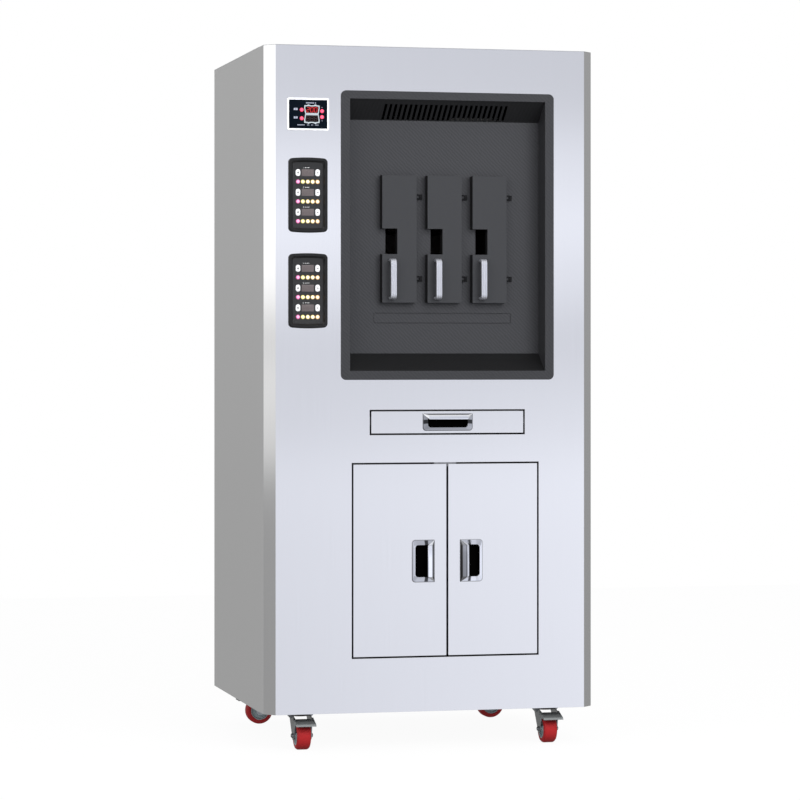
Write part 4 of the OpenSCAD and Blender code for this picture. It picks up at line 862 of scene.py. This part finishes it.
# A key as (inset, corner radius, height above the floor): its collar, its side and its rounded top
KEY_PROFILE = [(-1.9, 5.6, -3.8), (-1.9, 5.6, -2.2), (0, 5.4, -2.2), (0, 5.4, 0.9), (0.3, 5.1, 1.35),
               (1.1, 4.4, 1.65), (3.2, 2.9, 1.78), (5.2, 1.2, 1.8)]
SIGN_REACH = 3
SIGN_WIDTH = 2.0
SIGN_LOW = TIMER_FLOOR + 1.5
SIGN_HIGH = TIMER_FLOOR + 1.84
WINDOW_SIZE = (33, 18)
WINDOW_DIGITS = 4
WINDOW_DIGIT_X = -11.4
WINDOW_DIGIT_PITCH = 7.6
WINDOW_DIGIT_HEIGHT = 11.5
# The label above a window: a small numeral and three dashes
LABEL_RISE = 13.4
LABEL_X = -11.5
LABEL_HEIGHT = 3.6
DASHES = (-7.6, -3.4, 0.8)
DASH_LENGTH = 3.4
DASH_WIDTH = 1.3
LAMP_ROW = ("lamp_pink", "lamp_yellow", "lamp_cream", "lamp_cream", "lamp_amber")
LAMP_PITCH = 13.15
LAMP_DROP = -23.8
# A lamp's lens as (radius, height above the floor, glow)
LENS_PROFILE = [(5.7, -0.2, 0.0), (5.7, 0.3, 0.0), (5.3, 0.8, 0.1), (4.3, 1.4, 0.4), (3.0, 1.8, 0.8),
                (1.5, 2.05, 1.0), (0.5, 2.1, 1.0)]


def inset_line(size, inset, radius, bow=0.0, across=0):
    """An outline that lies by inset inside a rectangle of size."""
    return outline(size[0] - 2 * inset, size[1] - 2 * inset, radius, bow=bow, across=across)


def timer_housings():
    """Black housings with gently bowed ends and a dished floor."""
    profile = PANEL_BOX + PANEL_BEZEL + PANEL_DISH
    levels = [(inset_line(PANEL_SIZE, inset, radius, bow, 7), d) for inset, radius, bow, d in profile]
    shape = Shape()
    for z in PANELS:
        shape.move(CONTROL_X, z)
        shape.loft(levels)
    shape.build("timer_bezels", "cabinet", ["timer_plastic"], "timer_housings", 40)


def timer_key(number, sign):
    """A white push key with a faint plus or minus."""
    side = -1 if sign == "plus" else 1
    panel, row = divmod(number - 1, len(ROWS))
    shape = Shape(CONTROL_X + side * KEY_X, PANELS[panel] + ROWS[row])
    shape.loft([(inset_line(KEY_SIZE, inset, radius), TIMER_FLOOR + d) for inset, radius, d in KEY_PROFILE])
    shape.bar((-SIGN_REACH, 0), (SIGN_REACH, 0), SIGN_WIDTH, SIGN_LOW, SIGN_HIGH, 1)
    if sign == "plus":
        shape.bar((0, -SIGN_REACH), (0, SIGN_REACH), SIGN_WIDTH, SIGN_LOW, SIGN_HIGH, 1)
    name = f"timer_{number}_{sign}_key"
    shape.build(name + "_cap", name, ["key_white", "key_mark"], name)


def timer_faces():
    """Number windows, small numerals and lamps, set into the panels' floors."""
    shape = Shape()
    paints = ["lamp_pink", "lamp_yellow", "lamp_cream", "lamp_amber", "window_grey", "window_ghost",
              "mark_white"]
    pane, ghost, mark = 4, 5, 6
    low = TIMER_FLOOR - 0.2
    window = [(inset_line(WINDOW_SIZE, 0, 1.2), low), (inset_line(WINDOW_SIZE, 0, 1.2), TIMER_FLOOR + 0.35),
              (inset_line(WINDOW_SIZE, 0.5, 0.8), TIMER_FLOOR + 0.6)]
    for panel, z in enumerate(PANELS):
        for row, rise in enumerate(ROWS):
            shape.move(CONTROL_X, z + rise)
            shape.loft(window, pane)
            for place in range(WINDOW_DIGITS):
                digit(shape, "8", WINDOW_DIGIT_X + WINDOW_DIGIT_PITCH * place, 0, WINDOW_DIGIT_HEIGHT,
                      TIMER_FLOOR + 0.5, TIMER_FLOOR + 0.66, ghost)
            label = str(len(ROWS) * panel + row + 1)
            digit(shape, label, LABEL_X, LABEL_RISE, LABEL_HEIGHT, low, MARK_TOP, mark)
            for start in DASHES:
                ends = ((start, LABEL_RISE), (start + DASH_LENGTH, LABEL_RISE))
                shape.bar(*ends, DASH_WIDTH, low, MARK_TOP, mark)
            for i, lamp in enumerate(LAMP_ROW):
                u = LAMP_PITCH * (i - len(LAMP_ROW) // 2)
                lens = [(disc(radius, u, LAMP_DROP), TIMER_FLOOR + d) for radius, d, _ in LENS_PROFILE]
                shape.loft(lens, paints.index(lamp), glows=[glow for _, _, glow in LENS_PROFILE])
    shape.build("timer_lamps_and_windows", "cabinet", paints, "timer_indicators", 30)


timer_housings()
for number in range(1, len(PANELS) * len(ROWS) + 1):
    for sign in ("minus", "plus"):
        timer_key(number, sign)
timer_faces()

# ---------------------------------------------------------------- temperature controller

CONTROLLER_Z = 1677.7
# d of the dark face, which the windows and buttons count from
FACE = 4.0
# The case and its frame, and the dark face in it, as (width, height, corner radius, d)
CASE = [(93, 66, 2, -62), (95, 68, 2, -61), (95, 68, 2, 0), (113, 86, 5, 0), (113, 86, 5, 1.6),
        (112, 85, 4.7, 2.6), (110, 83, 4, 3.0), (103.6, 76.6, 2, 3.0), (102.6, 75.6, 1.6, 2.6)]
GLASS = [(102, 75, 1.5, 2.4), (102, 75, 1.5, FACE - 0.3), (101, 74, 1.2, FACE)]
WINDOW_U = 9.9
WINDOW_V = 11.6
WINDOW_BACK = FACE - 0.2
FRAME_TOP = FACE + 0.35
SCREEN_TOP = FACE + 0.12
DISPLAY_PITCH = 10.4
DISPLAY_HEIGHT = 12.4
DISPLAY_BACK = FACE + 0.05
DISPLAY_TOP = FACE + 0.2
# The upper window's bright frame, which the lower window has upside down
FRAME_EDGE = [(-18, -11.5), (18, -11.5), (20.8, 5), (20.2, 11.4), (13, 12.0), (9.5, 14.4), (5, 11.8),
              (-1, 11.2), (-5, 11.8), (-9.5, 14.4), (-13, 12.0), (-20.2, 11.4), (-20.8, 5)]
FRAME_INNER = [(-15.8, -8.6), (15.8, -8.6), (18.0, 4), (17.2, 8.6), (12.6, 8.8), (9.3, 9.6), (5, 8.8),
               (-1, 8.6), (-5, 8.8), (-9.3, 9.6), (-12.6, 8.8), (-17.2, 8.6), (-18.0, 4)]
# The round buttons' middles, and their rings and lenses as (radius, height above the face) and a glow
BUTTONS = ((-17.4, 11.1), (-17.4, -11.4), (37.1, 8.4), (37.1, -7.4))
BUTTON_RING = [(6.4, -0.2), (6.4, 0.1), (5.2, 0.1)]
BUTTON_LENS = [(5.2, -0.2, 0.0), (5.2, 0.3, 0.0), (4.7, 0.62, 0.25), (3.6, 0.85, 0.6), (2.0, 0.98, 0.9),
               (0.6, 1.0, 1.0)]
# Rows of small blocks in place of words, as (u, v, length, height, count)
WORDS = [(-33.5, 12.8, 11.4, 5.6, 2), (-33.5, -9.4, 11.4, 5.6, 2), (5.0, 29.5, 22, 3.0, 6),
         (19.5, 29.5, 3.6, 3.0, 1), (-19.5, -28.6, 20, 2.4, 6), (0.0, -28.6, 6, 2.0, 2),
         (10.5, -28.6, 6, 2.0, 2), (23.0, -28.6, 10, 2.0, 3)]
BLOCK_SHARE = 0.84
MARK_SINK = 0.1
MARK_RISE = 0.05
# Arrows over and under the right buttons, as (v, the way they point)
ARROW_U = 37.1
ARROW_HALF = 1.9
ARROW_STROKE = 0.8
ARROWS = ((18.1, 1), (-17.1, -1))


def temperature_controller():
    """A pale case with a dark face, two framed windows, four round buttons and small marks."""
    shape = Shape(CONTROL_X, CONTROLLER_Z)
    paints = ["controller_plastic", "face_glass", "window_frame", "screen_dark", "digit_red", "digit_dim",
              "button_red", "button_ring", "mark_pale"]
    case, glass, bright, screen, lit, dim, button, ring_paint, mark = range(len(paints))
    for levels, paint in ((CASE, case), (GLASS, glass)):
        shape.loft([(outline(width, height, radius), d) for width, height, radius, d in levels], paint)
    for way, number, number_paint in ((1, "200", lit), (-1, "888", dim)):
        v = way * WINDOW_V
        edge, inner = [[(WINDOW_U + a, v + way * b) for a, b in line] for line in (FRAME_EDGE, FRAME_INNER)]
        levels = ((edge, WINDOW_BACK), (edge, FRAME_TOP), (inner, FRAME_TOP), (inner, WINDOW_BACK))
        rings = [shape.ring([(a, b, d) for a, b in line]) for line, d in levels]
        for low, high in zip(rings, rings[1:] + rings[:1]):
            shape.band(low, high, bright)
        shape.loft([(inner, WINDOW_BACK), (inner, SCREEN_TOP)], screen)
        for place, character in enumerate(number):
            u = WINDOW_U + DISPLAY_PITCH * (place - 1)
            digit(shape, character, u, v, DISPLAY_HEIGHT, DISPLAY_BACK, DISPLAY_TOP, number_paint)
    for u, v in BUTTONS:
        shape.loft([(disc(radius, u, v), FACE + d) for radius, d in BUTTON_RING], ring_paint)
        shape.loft([(disc(radius, u, v), FACE + d) for radius, d, _ in BUTTON_LENS], button,
                   glows=[glow for _, _, glow in BUTTON_LENS])
    low = FACE - MARK_SINK
    high = FACE + MARK_RISE
    for u, v, length, height, count in WORDS:
        pitch = length / count
        for i in range(count):
            centre = u - length / 2 + (i + 0.5) * pitch
            block = [(centre + a, b) for a, b in outline(pitch * BLOCK_SHARE, height, 0.4, v, steps=2)]
            shape.loft([(block, low), (block, high)], mark)
    for v, way in ARROWS:
        tip = (ARROW_U, v + way)
        shape.bar((ARROW_U - ARROW_HALF, v - way), tip, ARROW_STROKE, low, high, mark)
        shape.bar(tip, (ARROW_U + ARROW_HALF, v - way), ARROW_STROKE, low, high, mark)
    shape.build("controller_unit", "cabinet", paints, "temperature_controller", 30)


temperature_controller()

# ---------------------------------------------------------------- castor wheels

# Radius and half the width of a tyre, and points round it
TYRE_R = 37.5
TYRE_HALF = 19.0
TYRE_STEPS = 72
RED, GREY = 0, 1
# Half a wheel's section from its bore to its tread, as (radius, inset from the tyre's side, paint)
WHEEL_SECTION = [(4.15, -2, GREY), (9.4, -2, GREY), (10, -1.4, GREY), (10, 1.5, GREY), (13, 5.6, GREY),
                 (16, 6, GREY), (21, 6, GREY), (23.5, 1.4, GREY), (25.6, 0.8, RED), (26.2, 0.6, RED),
                 (27.4, 0.1, RED), (30, 0, RED), (33, 1, RED), (35.4, 3, RED), (36.9, 5.4, RED),
                 (TYRE_R, 8, RED)]


def castor_wheel(corner, axis):
    """A red tyre with a flat tread, gripping a grey hub, turned about its axle."""
    half = [(radius, TYRE_HALF - inset, paint) for radius, inset, paint in WHEEL_SECTION]
    line = half + [(radius, -along, paint) for radius, along, paint in reversed(half)]
    low, high = [Vector(box_corner) for box_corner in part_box(f"castor_wheel_{corner}")]
    centre = (low + high) / 2
    axle = Vector(axis).normalized()
    up = Vector((0, 0, 1))
    side = axle.cross(up)
    turns = [2 * math.pi * i / TYRE_STEPS for i in range(TYRE_STEPS)]
    spokes = [side * math.cos(turn) + up * math.sin(turn) for turn in turns]
    shape = Shape()
    rings = [[shape.mesh.verts.new(centre + (axle * along + spoke * radius) * MM) for spoke in spokes]
             for radius, along, _ in line]
    paints = [paint for _, _, paint in line]
    for i in range(len(rings) - 1):
        shape.band(rings[i], rings[i + 1], max(paints[i], paints[i + 1]))
    shape.band(rings[-1], rings[0], GREY)
    shape.build(f"castor_tyre_{corner}", f"castor_wheel_{corner}", ["tyre_red", "hub_grey"],
                f"castor_wheel_{corner}", 30)


for joint in frame["joints"]:
    if joint["name"].endswith("_wheel_roll"):
        castor_wheel(joint["name"].replace("_wheel_roll", ""), joint["axis"])
